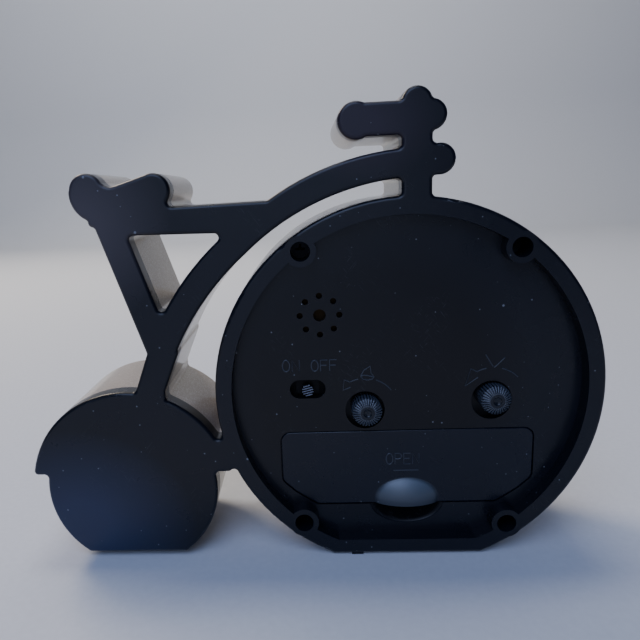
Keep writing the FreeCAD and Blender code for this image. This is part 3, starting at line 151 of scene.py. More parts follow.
@dataclass(frozen=True)
class MouldedPlastic:
    """An injection-moulded plastic with its grain, clouding, dust and fine scratches.

    The colour drifts a little over a few centimetres, the eroded mould leaves a fine grain in the
    gloss, and handling leaves dust specks and hairline scratches. Spots paint highlights,
    reflections and shade into the colour.
    """

    name: str
    colour: str
    drift: str
    roughness: float = 0.45
    grain_mm: float = 0.25
    grain_depth_mm: float = 0.006
    cloud_mm: float = 22.0
    dust: float = 0.0
    dust_colour: str = "8c929b"
    scratches: float = 0.0
    coat: float = 0.0
    glow: float = 0.0
    sheen: float = 0.5
    spots: tuple[Spot, ...] = ()

    def make(self) -> bpy.types.Material:
        """Build the material's nodes.

        Returns:
            The finished material.
        """
        material, tree = fresh_tree(self.name)
        place = add(tree, "ShaderNodeTexCoord").outputs["Object"]
        cloud = add(tree, "ShaderNodeTexNoise", {
            "Vector": place, "Scale": per(self.cloud_mm), "Detail": 4.0})
        colour = add(tree, "ShaderNodeMix", {
            0: cloud.outputs["Fac"], 6: linear(self.colour), 7: linear(self.drift)},
            data_type="RGBA").outputs[2]
        smear = add(tree, "ShaderNodeTexNoise", {
            "Vector": place, "Scale": per(self.cloud_mm * 0.4), "Detail": 5.0, "Distortion": 0.6})
        rough = add(tree, "ShaderNodeMapRange", {
            "Value": smear.outputs["Fac"], "From Min": 0.3, "From Max": 0.7,
            "To Min": self.roughness - 0.05, "To Max": self.roughness + 0.06}).outputs["Result"]
        grain = add(tree, "ShaderNodeTexNoise", {
            "Vector": place, "Scale": per(self.grain_mm), "Detail": 2.0})
        sheen: SocketValue = self.sheen
        # the spots paint highlights, reflections and shade into the colour
        for spot in self.spots:
            colour, rough, sheen = self.spotted(tree, place, spot, (colour, rough, sheen))
        if self.scratches:
            colour = self.scratched(tree, place, colour)
        if self.dust:
            colour = self.dusted(tree, place, colour)
        bump = add(tree, "ShaderNodeBump", {
            "Height": grain.outputs["Fac"], "Strength": 1.0, "Distance": self.grain_depth_mm * MM})
        shader = add(tree, "ShaderNodeBsdfPrincipled", {
            "Base Color": colour, "Roughness": rough, "Normal": bump.outputs["Normal"], "IOR": 1.53,
            "Specular IOR Level": sheen, "Coat Weight": self.coat, "Coat Roughness": 0.18,
            "Subsurface Weight": self.glow, "Subsurface Radius": (0.002, 0.002, 0.002),
            "Subsurface Scale": 0.5})
        add(tree, "ShaderNodeOutputMaterial", {"Surface": shader.outputs[0]})
        return material

    def spotted(self, tree: bpy.types.NodeTree, place: bpy.types.NodeSocket, spot: Spot,
                skin: tuple[SocketValue, ...]) -> tuple[bpy.types.NodeSocket, ...]:
        """Paint a highlight, reflection or shade into the colour inside a spot, and change its gloss there.

        Args:
            tree: the material's tree.
            place: the object coordinates.
            spot: the oval place.
            skin: the colour, the roughness and the sheen away from the spot.

        Returns:
            The colour, the roughness and the sheen.
        """
        colour, rough, sheen = skin
        inside = add(tree, "ShaderNodeMapping", {
            "Vector": place, "Location": mm(*spot.centre), "Scale": mm(*spot.reach)}, vector_type="TEXTURE")
        away = add(tree, "ShaderNodeVectorMath", {0: inside.outputs["Vector"]}, operation="LENGTH")
        near = add(tree, "ShaderNodeMapRange", {
            "Value": away.outputs["Value"], "From Min": 1.02,
            "From Max": 1.02 - spot.soft}).outputs["Result"]
        tint = near
        if spot.fades:
            axes = add(tree, "ShaderNodeSeparateXYZ", {"Vector": inside.outputs["Vector"]})
            rising = add(tree, "ShaderNodeMapRange", {
                "Value": axes.outputs[2], "From Min": -0.1, "From Max": 0.9, "To Min": 0.25})
            tint = add(tree, "ShaderNodeMath", {
                0: rising.outputs["Result"], 1: near}, operation="MULTIPLY").outputs[0]
        inner = add(tree, "ShaderNodeMix", {0: tint, 6: colour, 7: linear(spot.colour)}, data_type="RGBA")
        rougher = add(tree, "ShaderNodeMix", {0: near, 2: rough, 3: spot.roughness})
        glossier = add(tree, "ShaderNodeMix", {0: near, 2: sheen, 3: spot.sheen})
        return inner.outputs[2], rougher.outputs[0], glossier.outputs[0]

    def scratched(self, tree: bpy.types.NodeTree, place: bpy.types.NodeSocket,
                  colour: bpy.types.NodeSocket) -> bpy.types.NodeSocket:
        """Draw hairline scratches in two directions, in patches.

        Args:
            tree: the material's tree.
            place: the object coordinates.
            colour: the colour below the scratches.

        Returns:
            The colour with the scratches in it.
        """
        patch = add(tree, "ShaderNodeTexNoise", {"Vector": place, "Scale": per(17.0), "Detail": 2.0})
        where = add(tree, "ShaderNodeMapRange", {
            "Value": patch.outputs["Fac"], "From Min": 0.5, "From Max": 0.64}).outputs["Result"]
        for turn, length, width in ((0.9, 3.2, 0.15), (-0.5, 2.4, 0.13), (2.2, 4.0, 0.16)):
            along = add(tree, "ShaderNodeMapping", {
                "Vector": place, "Rotation": (0.0, turn, 0.0),
                "Scale": (length * MM, 2.0 * MM, width * MM)}, vector_type="TEXTURE")
            line = add(tree, "ShaderNodeTexNoise", {
                "Vector": along.outputs["Vector"], "Scale": 1.0, "Detail": 1.0})
            mark = add(tree, "ShaderNodeMapRange", {
                "Value": line.outputs["Fac"], "From Min": 0.72, "From Max": 0.78, "To Max": self.scratches})
            mask = add(tree, "ShaderNodeMath", {0: mark.outputs["Result"], 1: where}, operation="MULTIPLY")
            colour = add(tree, "ShaderNodeMix", {
                0: mask.outputs[0], 6: colour, 7: linear(self.dust_colour)}, data_type="RGBA").outputs[2]
        return colour

    def dusted(self, tree: bpy.types.NodeTree, place: bpy.types.NodeSocket,
               colour: bpy.types.NodeSocket) -> bpy.types.NodeSocket:
        """Scatter specks of dust, 0.1 to 0.4 mm across.

        Args:
            tree: the material's tree.
            place: the object coordinates.
            colour: the colour below the dust.

        Returns:
            The colour with the dust on it.
        """
        for spacing, size in ((2.6, 0.085), (6.5, 0.055)):
            cells = add(tree, "ShaderNodeTexVoronoi", {"Vector": place, "Scale": per(spacing)})
            split = add(tree, "ShaderNodeSeparateColor", {"Color": cells.outputs["Color"]})
            reach = add(tree, "ShaderNodeMath", {0: split.outputs[0], 1: size}, operation="MULTIPLY")
            speck = add(tree, "ShaderNodeMath", {
                0: cells.outputs["Distance"], 1: reach.outputs[0]}, operation="LESS_THAN")
            mask = add(tree, "ShaderNodeMath", {0: speck.outputs[0], 1: self.dust}, operation="MULTIPLY")
            colour = add(tree, "ShaderNodeMix", {
                0: mask.outputs[0], 6: colour, 7: linear(self.dust_colour)}, data_type="RGBA").outputs[2]
        return colour


@dataclass(frozen=True)
class PearlLacquer:
    """Pearl lacquer sprayed on ABS: a warm grey that drifts to lilac, with fine flakes painted paler as
    painted glints.
    """

    name: str
    colour: str
    drift: str
    flake_mm: float = 0.22
    roughness: float = 0.34

    def make(self) -> bpy.types.Material:
        """Build the material's nodes.

        Returns:
            The finished material.
        """
        material, tree = fresh_tree(self.name)
        place = add(tree, "ShaderNodeTexCoord").outputs["Object"]
        cloud = add(tree, "ShaderNodeTexNoise", {"Vector": place, "Scale": per(30.0), "Detail": 3.0})
        base = add(tree, "ShaderNodeMix", {
            0: cloud.outputs["Fac"], 6: linear(self.colour), 7: linear(self.drift)}, data_type="RGBA")
        # flakes of real pearl pigment are 0.05 mm; they are drawn at 0.22 mm so that they show, and their
        # paler colour is a painted glint
        flakes = add(tree, "ShaderNodeTexVoronoi", {"Vector": place, "Scale": per(self.flake_mm)})
        split = add(tree, "ShaderNodeSeparateColor", {"Color": flakes.outputs["Color"]})
        painted_glint = add(tree, "ShaderNodeMapRange", {
            "Value": split.outputs[1], "From Min": 0.6, "From Max": 1.0, "To Max": 0.35})
        colour = add(tree, "ShaderNodeMix", {
            0: painted_glint.outputs["Result"], 6: base.outputs[2], 7: linear("e9e2d6")}, data_type="RGBA")
        peel = add(tree, "ShaderNodeTexNoise", {"Vector": place, "Scale": per(1.4), "Detail": 1.0})
        bump = add(tree, "ShaderNodeBump", {
            "Height": peel.outputs["Fac"], "Strength": 0.6, "Distance": 0.02 * MM})
        shader = add(tree, "ShaderNodeBsdfPrincipled", {
            "Base Color": colour.outputs[2], "Metallic": 0.35, "Roughness": self.roughness,
            "Normal": bump.outputs["Normal"], "Coat Weight": 0.6, "Coat Roughness": 0.08,
            "Thin Film Thickness": 320.0})
        add(tree, "ShaderNodeOutputMaterial", {"Surface": shader.outputs[0]})
        return material


@dataclass(frozen=True)
class ClearSheet:
    """A clear polished sheet, such as a moulded acrylic lens: dark edges and crisp reflections."""

    name: str
    tint: str = "f4f7f8"
    alpha: float = 0.13

    def make(self) -> bpy.types.Material:
        """Build the material's nodes.

        Returns:
            The finished material.
        """
        material, tree = fresh_tree(self.name)
        place = add(tree, "ShaderNodeTexCoord").outputs["Object"]
        wipe = add(tree, "ShaderNodeTexNoise", {"Vector": place, "Scale": per(18.0), "Detail": 4.0})
        rough = add(tree, "ShaderNodeMapRange", {
            "Value": wipe.outputs["Fac"], "From Min": 0.4, "From Max": 0.8, "To Min": 0.02, "To Max": 0.09})
        shader = add(tree, "ShaderNodeBsdfPrincipled", {
            "Base Color": linear(self.tint), "Roughness": rough.outputs["Result"], "IOR": 1.49,
            "Alpha": self.alpha})
        add(tree, "ShaderNodeOutputMaterial", {"Surface": shader.outputs[0]})
        return material


@dataclass(frozen=True)
class PrintedSheet:
    """Screen print on a matt card or film: even ink with a faint fibre and soft gloss."""

    name: str
    colour: str
    drift: str
    roughness: float = 0.6
    fibre_mm: float = 0.35

    def make(self) -> bpy.types.Material:
        """Build the material's nodes.

        Returns:
            The finished material.
        """
        material, tree = fresh_tree(self.name)
        place = add(tree, "ShaderNodeTexCoord").outputs["Object"]
        fibre = add(tree, "ShaderNodeTexNoise", {
            "Vector": place, "Scale": per(self.fibre_mm), "Detail": 3.0})
        colour = add(tree, "ShaderNodeMix", {
            0: fibre.outputs["Fac"], 6: linear(self.colour), 7: linear(self.drift)}, data_type="RGBA")
        bump = add(tree, "ShaderNodeBump", {
            "Height": fibre.outputs["Fac"], "Strength": 0.5, "Distance": 0.01 * MM})
        shader = add(tree, "ShaderNodeBsdfPrincipled", {
            "Base Color": colour.outputs[2], "Roughness": self.roughness, "Normal": bump.outputs["Normal"]})
        add(tree, "ShaderNodeOutputMaterial", {"Surface": shader.outputs[0]})
        return material


@dataclass(frozen=True)
class WorkedMetal:
    """A metal with the marks of how it was made: drawn, rolled, turned or plated.

    Lines along one direction break up the gloss, and the plating clouds a little.
    """

    name: str
    colour: str
    drift: str
    roughness: float = 0.3
    line_mm: float = 0.12
    direction: tuple[float, float, float] = (1.0, 30.0, 30.0)
    depth_mm: float = 0.004
    bands_mm: float = 0.0

    def make(self) -> bpy.types.Material:
        """Build the material's nodes.

        Returns:
            The finished material.
        """
        material, tree = fresh_tree(self.name)
        place = add(tree, "ShaderNodeTexCoord").outputs["Object"]
        cloud = add(tree, "ShaderNodeTexNoise", {"Vector": place, "Scale": per(3.0), "Detail": 4.0})
        colour = add(tree, "ShaderNodeMix", {
            0: cloud.outputs["Fac"], 6: linear(self.colour), 7: linear(self.drift)}, data_type="RGBA")
        step = per(self.line_mm) / 30.0
        along = add(tree, "ShaderNodeMapping", {
            "Vector": place, "Scale": tuple(step * part for part in self.direction)})
        lines = add(tree, "ShaderNodeTexNoise", {
            "Vector": along.outputs["Vector"], "Scale": 1.0, "Detail": 2.0})
        rough = add(tree, "ShaderNodeMapRange", {
            "Value": lines.outputs["Fac"], "From Min": 0.3, "From Max": 0.7,
            "To Min": self.roughness - 0.08, "To Max": self.roughness + 0.1})
        height = lines.outputs["Fac"]
        if self.bands_mm:
            bands = add(tree, "ShaderNodeTexWave", {
                "Vector": place, "Scale": per(self.bands_mm) / 20.0}, wave_type="BANDS",
                bands_direction="X")
            height = bands.outputs["Fac"]
        bump = add(tree, "ShaderNodeBump", {
            "Height": height, "Strength": 0.8, "Distance": self.depth_mm * MM})
        shader = add(tree, "ShaderNodeBsdfPrincipled", {
            "Base Color": colour.outputs[2], "Metallic": 1.0, "Roughness": rough.outputs["Result"],
            "Normal": bump.outputs["Normal"]})
        add(tree, "ShaderNodeOutputMaterial", {"Surface": shader.outputs[0]})
        return material


@dataclass(frozen=True)
class CircuitLaminate:
    """Glass-epoxy board under solder mask: green lacquer over a faint weave, with copper tracks."""

    name: str
    colour: str = "1f5a38"
    track: str = "2f7a4c"
    weave_mm: float = 0.6
    track_mm: float = 1.9

    def make(self) -> bpy.types.Material:
        """Build the material's nodes.

        Returns:
            The finished material.
        """
        material, tree = fresh_tree(self.name)
        place = add(tree, "ShaderNodeTexCoord").outputs["Object"]
        weave = add(tree, "ShaderNodeTexChecker", {"Vector": place, "Scale": per(self.weave_mm)})
        tracks = add(tree, "ShaderNodeTexVoronoi", {
            "Vector": place, "Scale": per(self.track_mm)}, distance="MANHATTAN", feature="F1")
        lines = add(tree, "ShaderNodeMath", {
            0: tracks.outputs["Distance"], 1: 0.55}, operation="GREATER_THAN")
        colour = add(tree, "ShaderNodeMix", {
            0: lines.outputs[0], 6: linear(self.colour), 7: linear(self.track)}, data_type="RGBA")
        bump = add(tree, "ShaderNodeBump", {
            "Height": weave.outputs["Fac"], "Strength": 0.3, "Distance": 0.01 * MM})
        shader = add(tree, "ShaderNodeBsdfPrincipled", {
            "Base Color": colour.outputs[2], "Roughness": 0.32, "Normal": bump.outputs["Normal"],
            "Coat Weight": 0.4, "Coat Roughness": 0.1})
        add(tree, "ShaderNodeOutputMaterial", {"Surface": shader.outputs[0]})
        return material


@dataclass(frozen=True)
class CellWrap:
    """The shrunk film round a battery: a glossy grey sleeve with one plain blue band near its nub."""

    name: str
    sleeve: str = "b9bdc2"
    band: str = "27508f"
    metal: str = "c9c9c6"
    radius: float = 7.05
    band_from: float = 9.5
    band_to: float = 20.0

    def make(self) -> bpy.types.Material:
        """Build the material's nodes.

        Returns:
            The finished material.
        """
        material, tree = fresh_tree(self.name)
        place = add(tree, "ShaderNodeTexCoord").outputs["Object"]
        axes = add(tree, "ShaderNodeSeparateXYZ", {"Vector": place})
        past = add(tree, "ShaderNodeMath", {
            0: axes.outputs[0], 1: self.band_from * MM}, operation="GREATER_THAN")
        before = add(tree, "ShaderNodeMath", {
            0: axes.outputs[0], 1: self.band_to * MM}, operation="LESS_THAN")
        inside = add(tree, "ShaderNodeMath", {
            0: past.outputs[0], 1: before.outputs[0]}, operation="MULTIPLY")
        film = add(tree, "ShaderNodeTexNoise", {"Vector": place, "Scale": per(9.0), "Detail": 3.0})
        sleeve = add(tree, "ShaderNodeMix", {
            0: film.outputs["Fac"], 6: linear(self.sleeve), 7: linear(self.metal)}, data_type="RGBA")
        colour = add(tree, "ShaderNodeMix", {
            0: inside.outputs[0], 6: sleeve.outputs[2], 7: linear(self.band)}, data_type="RGBA")
        bump = add(tree, "ShaderNodeBump", {
            "Height": film.outputs["Fac"], "Strength": 0.3, "Distance": 0.03 * MM})
        shader = add(tree, "ShaderNodeBsdfPrincipled", {
            "Base Color": colour.outputs[2], "Metallic": 0.25, "Roughness": 0.22,
            "Normal": bump.outputs["Normal"], "Coat Weight": 0.5, "Coat Roughness": 0.06})
        add(tree, "ShaderNodeOutputMaterial", {"Surface": shader.outputs[0]})
        return material


class Palette:
    """Every finish of the clock, made once and shared by the pieces."""

    def __init__(self) -> None:
        """Make all the materials."""
        # the dome is painted pale as a painted highlight, lighter at its top, and the scoop below it is
        # painted near black as painted shade, with a matt skin
        thumb_dome = Spot((-0.5, 13.5, 15.8), (9.2, 6.0, 6.3), "56616b", 0.42, 0.6, fades=True)
        scoop = Spot((-0.5, 12.5, 14.6), (10.7, 6.0, 6.9), "030508", 0.6, 0.04)
        # painted reflections lighten the saddle, the strut and the bar, and a bluish painted reflection lies
        # on the small wheel
        painted_reflections = (Spot((88.0, 17.0, 97.0), (26.0, 30.0, 26.0), "3e3a3f", soft=0.75),
                  Spot((12.0, 17.0, 120.0), (20.0, 30.0, 14.0), "25202a", soft=0.75),
                  Spot((95.0, 17.0, 10.0), (34.0, 30.0, 30.0), "232d45", soft=0.75))
        # the recessed tray is painted darker, a painted shade
        tray = Spot((10.0, 12.0, 52.0), (46.0, 4.5, 46.0), "05060b", soft=0.3)
        finishes = {
            # satin black-blue ABS from an eroded mould: soft gloss, grey dust, hairline scratches
            "cover": MouldedPlastic("satin_black_blue_ABS", "0b0e15", "10131b", 0.3, dust=0.5, scratches=0.12,
                                    sheen=0.28, spots=(tray, scoop, *painted_reflections)),
            "door": MouldedPlastic("satin_black_blue_ABS_door", "0b0f18", "0f1420", 0.28, dust=0.4,
                                   scratches=0.08, sheen=0.3, spots=(thumb_dome,)),
            # the knobs are the same ABS, polished by fingers, and their rib crests are painted pale as a
            # painted highlight
            "knob": MouldedPlastic("rubbed_black_blue_ABS", "10141b", "161b23", 0.25, grain_depth_mm=0.002,
                                   sheen=0.3),
            # the raised signs are painted pale, a painted highlight on their crests
            "sign": MouldedPlastic("raised_signs_painted_highlight", "2b3038", "353b45", 0.3, grain_depth_mm=0.002),
            # the knob's rib crests are painted pale, a painted highlight
            "rubbed": MouldedPlastic("rib_crests_painted_highlight", "30353e", "3a4049", 0.22, grain_depth_mm=0.002),
            "shell": PearlLacquer("pearl_lacquered_ABS", "93867b", "a4978b"),
            "lens": ClearSheet("polished_acrylic"),
            "inner_bezel": MouldedPlastic("matt_black_polystyrene", "15161a", "1a1b20", 0.62),
            "dial": PrintedSheet("screen_printed_card", "efece4", "e7e3d9"),
            "ink": PrintedSheet("black_screen_ink", "17181b", "1d1e22", 0.45),
            "hands": PrintedSheet("black_lacquered_aluminium", "15161a", "1b1c21", 0.35),
            "alarm_hand": PrintedSheet("red_lacquered_aluminium", "b5231f", "a91f1c", 0.35),
            "movement": MouldedPlastic("black_glass_filled_nylon", "1a1a1c", "202023", 0.5, grain_mm=0.4),
            "plate": MouldedPlastic("natural_acetal", "dcd9cf", "d2cfc4", 0.38, glow=0.15),
            "gear": MouldedPlastic("white_acetal", "e4e2da", "d9d7ce", 0.3, grain_depth_mm=0.003, glow=0.2),
            "rotor": WorkedMetal("sintered_ferrite", "3a3a3d", "46464a", 0.55),
            # the deep case screws are painted near black, a painted shade, so the bosses read as dark holes
            "dark_screw": WorkedMetal("screw_steel_painted_shade", "17181b", "1e1f22", 0.42),
            "screw": WorkedMetal("zinc_plated_steel", "b4b6ba", "a7a9ae", 0.3),
            "stator": WorkedMetal("rolled_silicon_steel", "8e9094", "9a9ca0", 0.35),
            "bobbin": MouldedPlastic("amber_nylon", "c9a25c", "bf9750", 0.35, glow=0.2),
            "copper": WorkedMetal("enamelled_copper_wire", "b4582a", "a44d24", 0.25, bands_mm=0.25),
            "board": CircuitLaminate("glass_epoxy_laminate"),
            "chip": MouldedPlastic("black_epoxy_drop", "0c0d0f", "121315", 0.2, grain_depth_mm=0.001,
                                   coat=0.5),
            "can": WorkedMetal("nickel_plated_brass", "c3c3bd", "b5b5ae", 0.22),
            "switch": MouldedPlastic("black_nylon", "0d0e10", "111215", 0.5, sheen=0.15),
            "slider": MouldedPlastic("black_acetal", "060709", "08090c", 0.42, grain_depth_mm=0.002,
                                     sheen=0.12),
            # the slider's ribs are painted pale, a painted highlight
            "worn": MouldedPlastic("acetal_painted_highlight", "5f626c", "747781", 0.4, grain_depth_mm=0.002),
            # the buzzer's brass disc is painted dark, a painted shade behind its grille
            "buzzer": WorkedMetal("brass_painted_shade", "2a2115", "33291b", 0.5),
            "cell": CellWrap("shrink_wrapped_cell"),
            "contact": WorkedMetal("nickel_plated_spring_steel", "b9babd", "adaeb1", 0.24),
        }
        self.materials = {slot: finish.make() for slot, finish in finishes.items()}

    def __getitem__(self, slot: str) -> bpy.types.Material:
        """The material of one finish."""
        return self.materials[slot]

    def dress(self, slot: str, *nodes: str) -> None:
        """Give CAD nodes one of the finishes.

        Args:
            slot: the finish.
            nodes: the nodes' names.
        """
        for name in nodes:
            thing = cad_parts[name]
            for index in range(max(1, len(thing.material_slots))):
                if index < len(thing.material_slots):
                    thing.material_slots[index].material = self.materials[slot]
                else:
                    thing.data.materials.append(self.materials[slot])
            LOG.info("dressed %s in %s", name, self.materials[slot].name)


# ---- meshes ----------------------------------------------------------------------------------
def finished(build: bmesh.types.BMesh, name: str) -> bpy.types.Mesh:
    """Merge doubles, turn the faces outwards and keep the mesh.

    Args:
        build: the mesh that was built.
        name: its name.

    Returns:
        The plain mesh.
    """
    bmesh.ops.remove_doubles(build, verts=build.verts, dist=1e-7)
    bmesh.ops.recalc_face_normals(build, faces=build.faces)
    mesh = bpy.data.meshes.new(name)
    build.to_mesh(mesh)
    build.free()
    return mesh


def shade(mesh: bpy.types.Mesh, angle: float = 35.0) -> None:
    """Shade a mesh smooth where its faces meet at less than an angle in degrees."""
    mesh.shade_smooth()
    mesh.set_sharp_from_angle(angle=math.radians(angle))


def lathe(name: str, profile: Iterable[Point], x: float, z: float, steps: int = 96) -> bpy.types.Mesh:
    """Turn a profile about an axis along Y.

    Args:
        name: the mesh's name.
        profile: pairs of radius and Y in millimetres, from one end of the axis to the other.
        x: the axis' X in millimetres.
        z: the axis' Z in millimetres.
        steps: the number of faces round it.

    Returns:
        A closed mesh.
    """
    build = bmesh.new()
    spots = list(profile)
    rings = []
    for radius, y in spots:
        ring = []
        for i in range(steps):
            angle = 2 * math.pi * i / steps
            ring.append(build.verts.new(mm(x + radius * math.cos(angle), y, z + radius * math.sin(angle))))
        rings.append(ring)
    for first, second in zip(rings, rings[1:]):
        for i in range(steps):
            j = (i + 1) % steps
            build.faces.new((first[i], first[j], second[j], second[i]))
    for ring in (rings[0], rings[-1]):
        build.faces.new(ring)
    return finished(build, name)


def join(name: str, meshes: Iterable[bpy.types.Mesh]) -> bpy.types.Mesh:
    """Put several meshes together in one."""
    build = bmesh.new()
    for mesh in meshes:
        build.from_mesh(mesh)
    whole = bpy.data.meshes.new(name)
    build.to_mesh(whole)
    build.free()
    return whole


def islands(node: str) -> list[tuple[Vector, Vector]]:
    """The boxes of the separate solids in a CAD node.

    Args:
        node: the node's name.

    Returns:
        The lowest and highest corner of each solid, in metres.
    """
    build = bmesh.new()
    build.from_mesh(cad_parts[node].data)
    bmesh.ops.remove_doubles(build, verts=build.verts, dist=1e-6)
    left = set(build.verts)
    boxes = []
    while left:
        stack, group = [left.pop()], []
        while stack:
            vertex = stack.pop()
            group.append(vertex.co.copy())
            for edge in vertex.link_edges:
                other = edge.other_vert(vertex)
                if other in left:
                    left.remove(other)
                    stack.append(other)
        low = Vector([min(co[i] for co in group) for i in range(3)])
        high = Vector([max(co[i] for co in group) for i in range(3)])
        boxes.append((low, high))
    build.free()
    return sorted(boxes, key=lambda box: tuple(round(v, 5) for v in box[0]))


def piece(name: str, mesh: bpy.types.Mesh, body: Body, material: bpy.types.Material, slot: str,
          *nodes: str) -> bpy.types.Object:
    """Hang a finished mesh on a CAD body.

    Args:
        name: the piece's name.
        mesh: its mesh, already in place.
        body: the body that it rides on.
        material: its finish.
        slot: a material slot's name; it is not used.
        nodes: the CAD nodes that it stands for.

    Returns:
        The new object.
    """
    mesh.materials.clear()
    mesh.materials.append(material)
    thing = bpy.data.objects.new(name, mesh)
    bpy.context.scene.collection.objects.link(thing)
    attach(thing, body.value)
    if nodes:
        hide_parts(*nodes)
    LOG.info("made %s on %s, %d faces", name, body.value, len(mesh.polygons))
    return thing


# ---- geometry nodes --------------------------------------------------------------------------
class Pattern:
    """A Geometry Nodes tree with named inputs, grown once into a plain mesh."""

    def __init__(self, name: str, **sizes: float) -> None:
        """Start the tree.

        Args:
            name: the tree's name.
            sizes: its named inputs; a whole number makes a whole-number input.
        """
        self.name = name
        self.sizes = sizes
        self.tree = bpy.data.node_groups.new(name, "GeometryNodeTree")
        face = self.tree.interface
        face.new_socket("Geometry", in_out="INPUT", socket_type="NodeSocketGeometry")
        face.new_socket("Geometry", in_out="OUTPUT", socket_type="NodeSocketGeometry")
        for label, size in sizes.items():
            kind = "NodeSocketInt" if isinstance(size, int) else "NodeSocketFloat"
            face.new_socket(label, in_out="INPUT", socket_type=kind)
        self.given = self.tree.nodes.new("NodeGroupInput").outputs

    def add(self, kind: str, inputs: dict[Union[int, str], SocketValue] | None = None,
            **settings: object) -> bpy.types.Node:
        """Add a node to the tree."""
        return add(self.tree, kind, inputs, **settings)

    def sum(self, operation: str, *terms: SocketValue) -> bpy.types.NodeSocket:
        """Work out a sum of one, two or three terms inside the tree."""
        return self.add("ShaderNodeMath", dict(enumerate(terms)), operation=operation).outputs[0]

    def grow(self, shape: bpy.types.NodeSocket, material: bpy.types.Material,
             host: bpy.types.Mesh | None = None) -> bpy.types.Mesh:
        """End the tree, run it and keep its mesh.

        Args:
            shape: the geometry that the tree made.
            material: the finish it is set to.
            host: the mesh that the tree starts from, if any.

        Returns:
            The plain mesh.
        """
        real = self.add("GeometryNodeRealizeInstances", {"Geometry": shape})
        dressed = self.add("GeometryNodeSetMaterial", {"Geometry": real.outputs[0], "Material": material})
        self.add("NodeGroupOutput", {0: dressed.outputs[0]})
        thing = bpy.data.objects.new(self.name, host or bpy.data.meshes.new(self.name))
        bpy.context.scene.collection.objects.link(thing)
        modifier = thing.modifiers.new(self.name, "NODES")
        modifier.node_group = self.tree
        for item in self.tree.interface.items_tree:
            if item.in_out == "INPUT" and item.name in self.sizes:
                modifier[item.identifier] = self.sizes[item.name]
        graph = bpy.context.evaluated_depsgraph_get()
        mesh = bpy.data.meshes.new_from_object(thing.evaluated_get(graph), depsgraph=graph)
        thing.modifiers.remove(modifier)
        bpy.data.objects.remove(thing)
        LOG.info("grew %s, %d faces", self.name, len(mesh.polygons))
        return mesh


def ring_of(name: str, item: bpy.types.Mesh, count: int, x: float, z: float,
            material: bpy.types.Material, start: float = 0.0, share: float = 1.0) -> bpy.types.Mesh:
    """Copy a mesh round an axis along Y.

    Args:
        name: the pattern's name.
        item: the mesh to copy, built about the world's Y axis.
        count: how many copies.
        x: the axis' X in millimetres.
        z: the axis' Z in millimetres.
        material: the finish.
        start: the first copy's turn in degrees.
        share: the part of a full turn that the copies fill.

    Returns:
        All the copies as one mesh.
    """
    work = Pattern(name, Count=count, AxisX=x * MM, AxisZ=z * MM, Start=math.radians(start),
                   Sweep=2 * math.pi * share)
    given = work.given
    points = work.add("GeometryNodePoints", {"Count": given["Count"]})
    centre = work.add("ShaderNodeCombineXYZ", {"X": given["AxisX"], "Z": given["AxisZ"]})
    moved = work.add("GeometryNodeSetPosition", {
        "Geometry": points.outputs[0], "Position": centre.outputs[0]})
    index = work.add("GeometryNodeInputIndex").outputs[0]
    step = work.sum("DIVIDE", given["Sweep"], given["Count"])
    angle = work.sum("ADD", work.sum("MULTIPLY", index, step), given["Start"])
    turn = work.add("ShaderNodeCombineXYZ", {"Y": angle})
    copies = work.add("GeometryNodeInstanceOnPoints", {
        "Points": moved.outputs[0], "Instance": given["Geometry"], "Rotation": turn.outputs[0]})
    return work.grow(copies.outputs[0], material, item)


def stroked(name: str, lines: Iterable[tuple[list[Point], bool]], level: float, width: float,
            material: bpy.types.Material) -> bpy.types.Mesh:
    """Raise rounded strokes along lines that lie in a plane facing +Y.

    Args:
        name: the pattern's name.
        lines: each line's points as X and Z in millimetres, and whether it is closed.
        level: the plane's Y in millimetres.
        width: the stroke's width in millimetres; it stands half of that proud.
        material: the finish.

    Returns:
        The strokes as one mesh.
    """
    build = bmesh.new()
    for points, closed in lines:
        verts = [build.verts.new(mm(px, level, pz)) for px, pz in points]
        for first, second in zip(verts, verts[1:]):
            build.edges.new((first, second))
        if closed:
            build.edges.new((verts[-1], verts[0]))
    host = bpy.data.meshes.new(name)
    build.to_mesh(host)
    build.free()
    work = Pattern(name, Width=width * MM)
    path = work.add("GeometryNodeMeshToCurve", {"Mesh": work.given["Geometry"]})
    half = work.sum("MULTIPLY", work.given["Width"], 0.5)
    section = work.add("GeometryNodeCurvePrimitiveCircle", {"Resolution": 10, "Radius": half})
    tube = work.add("GeometryNodeCurveToMesh", {
        "Curve": path.outputs[0], "Profile Curve": section.outputs[0], "Fill Caps": True})
    return work.grow(tube.outputs[0], material, host)


def coiled(name: str, turns: float, near: float, far: float, start_radius: float, end_radius: float,
           wire: float, y: float, z: float, material: bpy.types.Material, steps: int = 28) -> bpy.types.Mesh:
    """Wind a wire round an axis along X.

    Args:
        name: the pattern's name.
        turns: the number of turns.
        near: the X where the coil starts, in millimetres.
        far: the X where it ends.
        start_radius: the radius of its line at the start.
        end_radius: the radius at the end.
        wire: the wire's radius.
        y: the axis' Y.
        z: the axis' Z.
        material: the finish.
        steps: points to a turn.

    Returns:
        The wound wire.
    """
    work = Pattern(name, Turns=float(turns), Length=(far - near) * MM, StartRadius=start_radius * MM,
                   EndRadius=end_radius * MM, Wire=wire * MM, Steps=int(steps))
    given = work.given
    line = work.add("GeometryNodeCurveSpiral", {
        "Resolution": given["Steps"], "Rotations": given["Turns"], "Start Radius": given["StartRadius"],
        "End Radius": given["EndRadius"], "Height": given["Length"]})
    section = work.add("GeometryNodeCurvePrimitiveCircle", {"Resolution": 8, "Radius": given["Wire"]})
    tube = work.add("GeometryNodeCurveToMesh", {
        "Curve": line.outputs[0], "Profile Curve": section.outputs[0], "Fill Caps": True})
    laid = work.add("GeometryNodeTransform", {
        "Geometry": tube.outputs[0], "Translation": tuple(mm(near, y, z)),
        "Rotation": (0.0, math.pi / 2, 0.0)})
    return work.grow(laid.outputs[0], material)


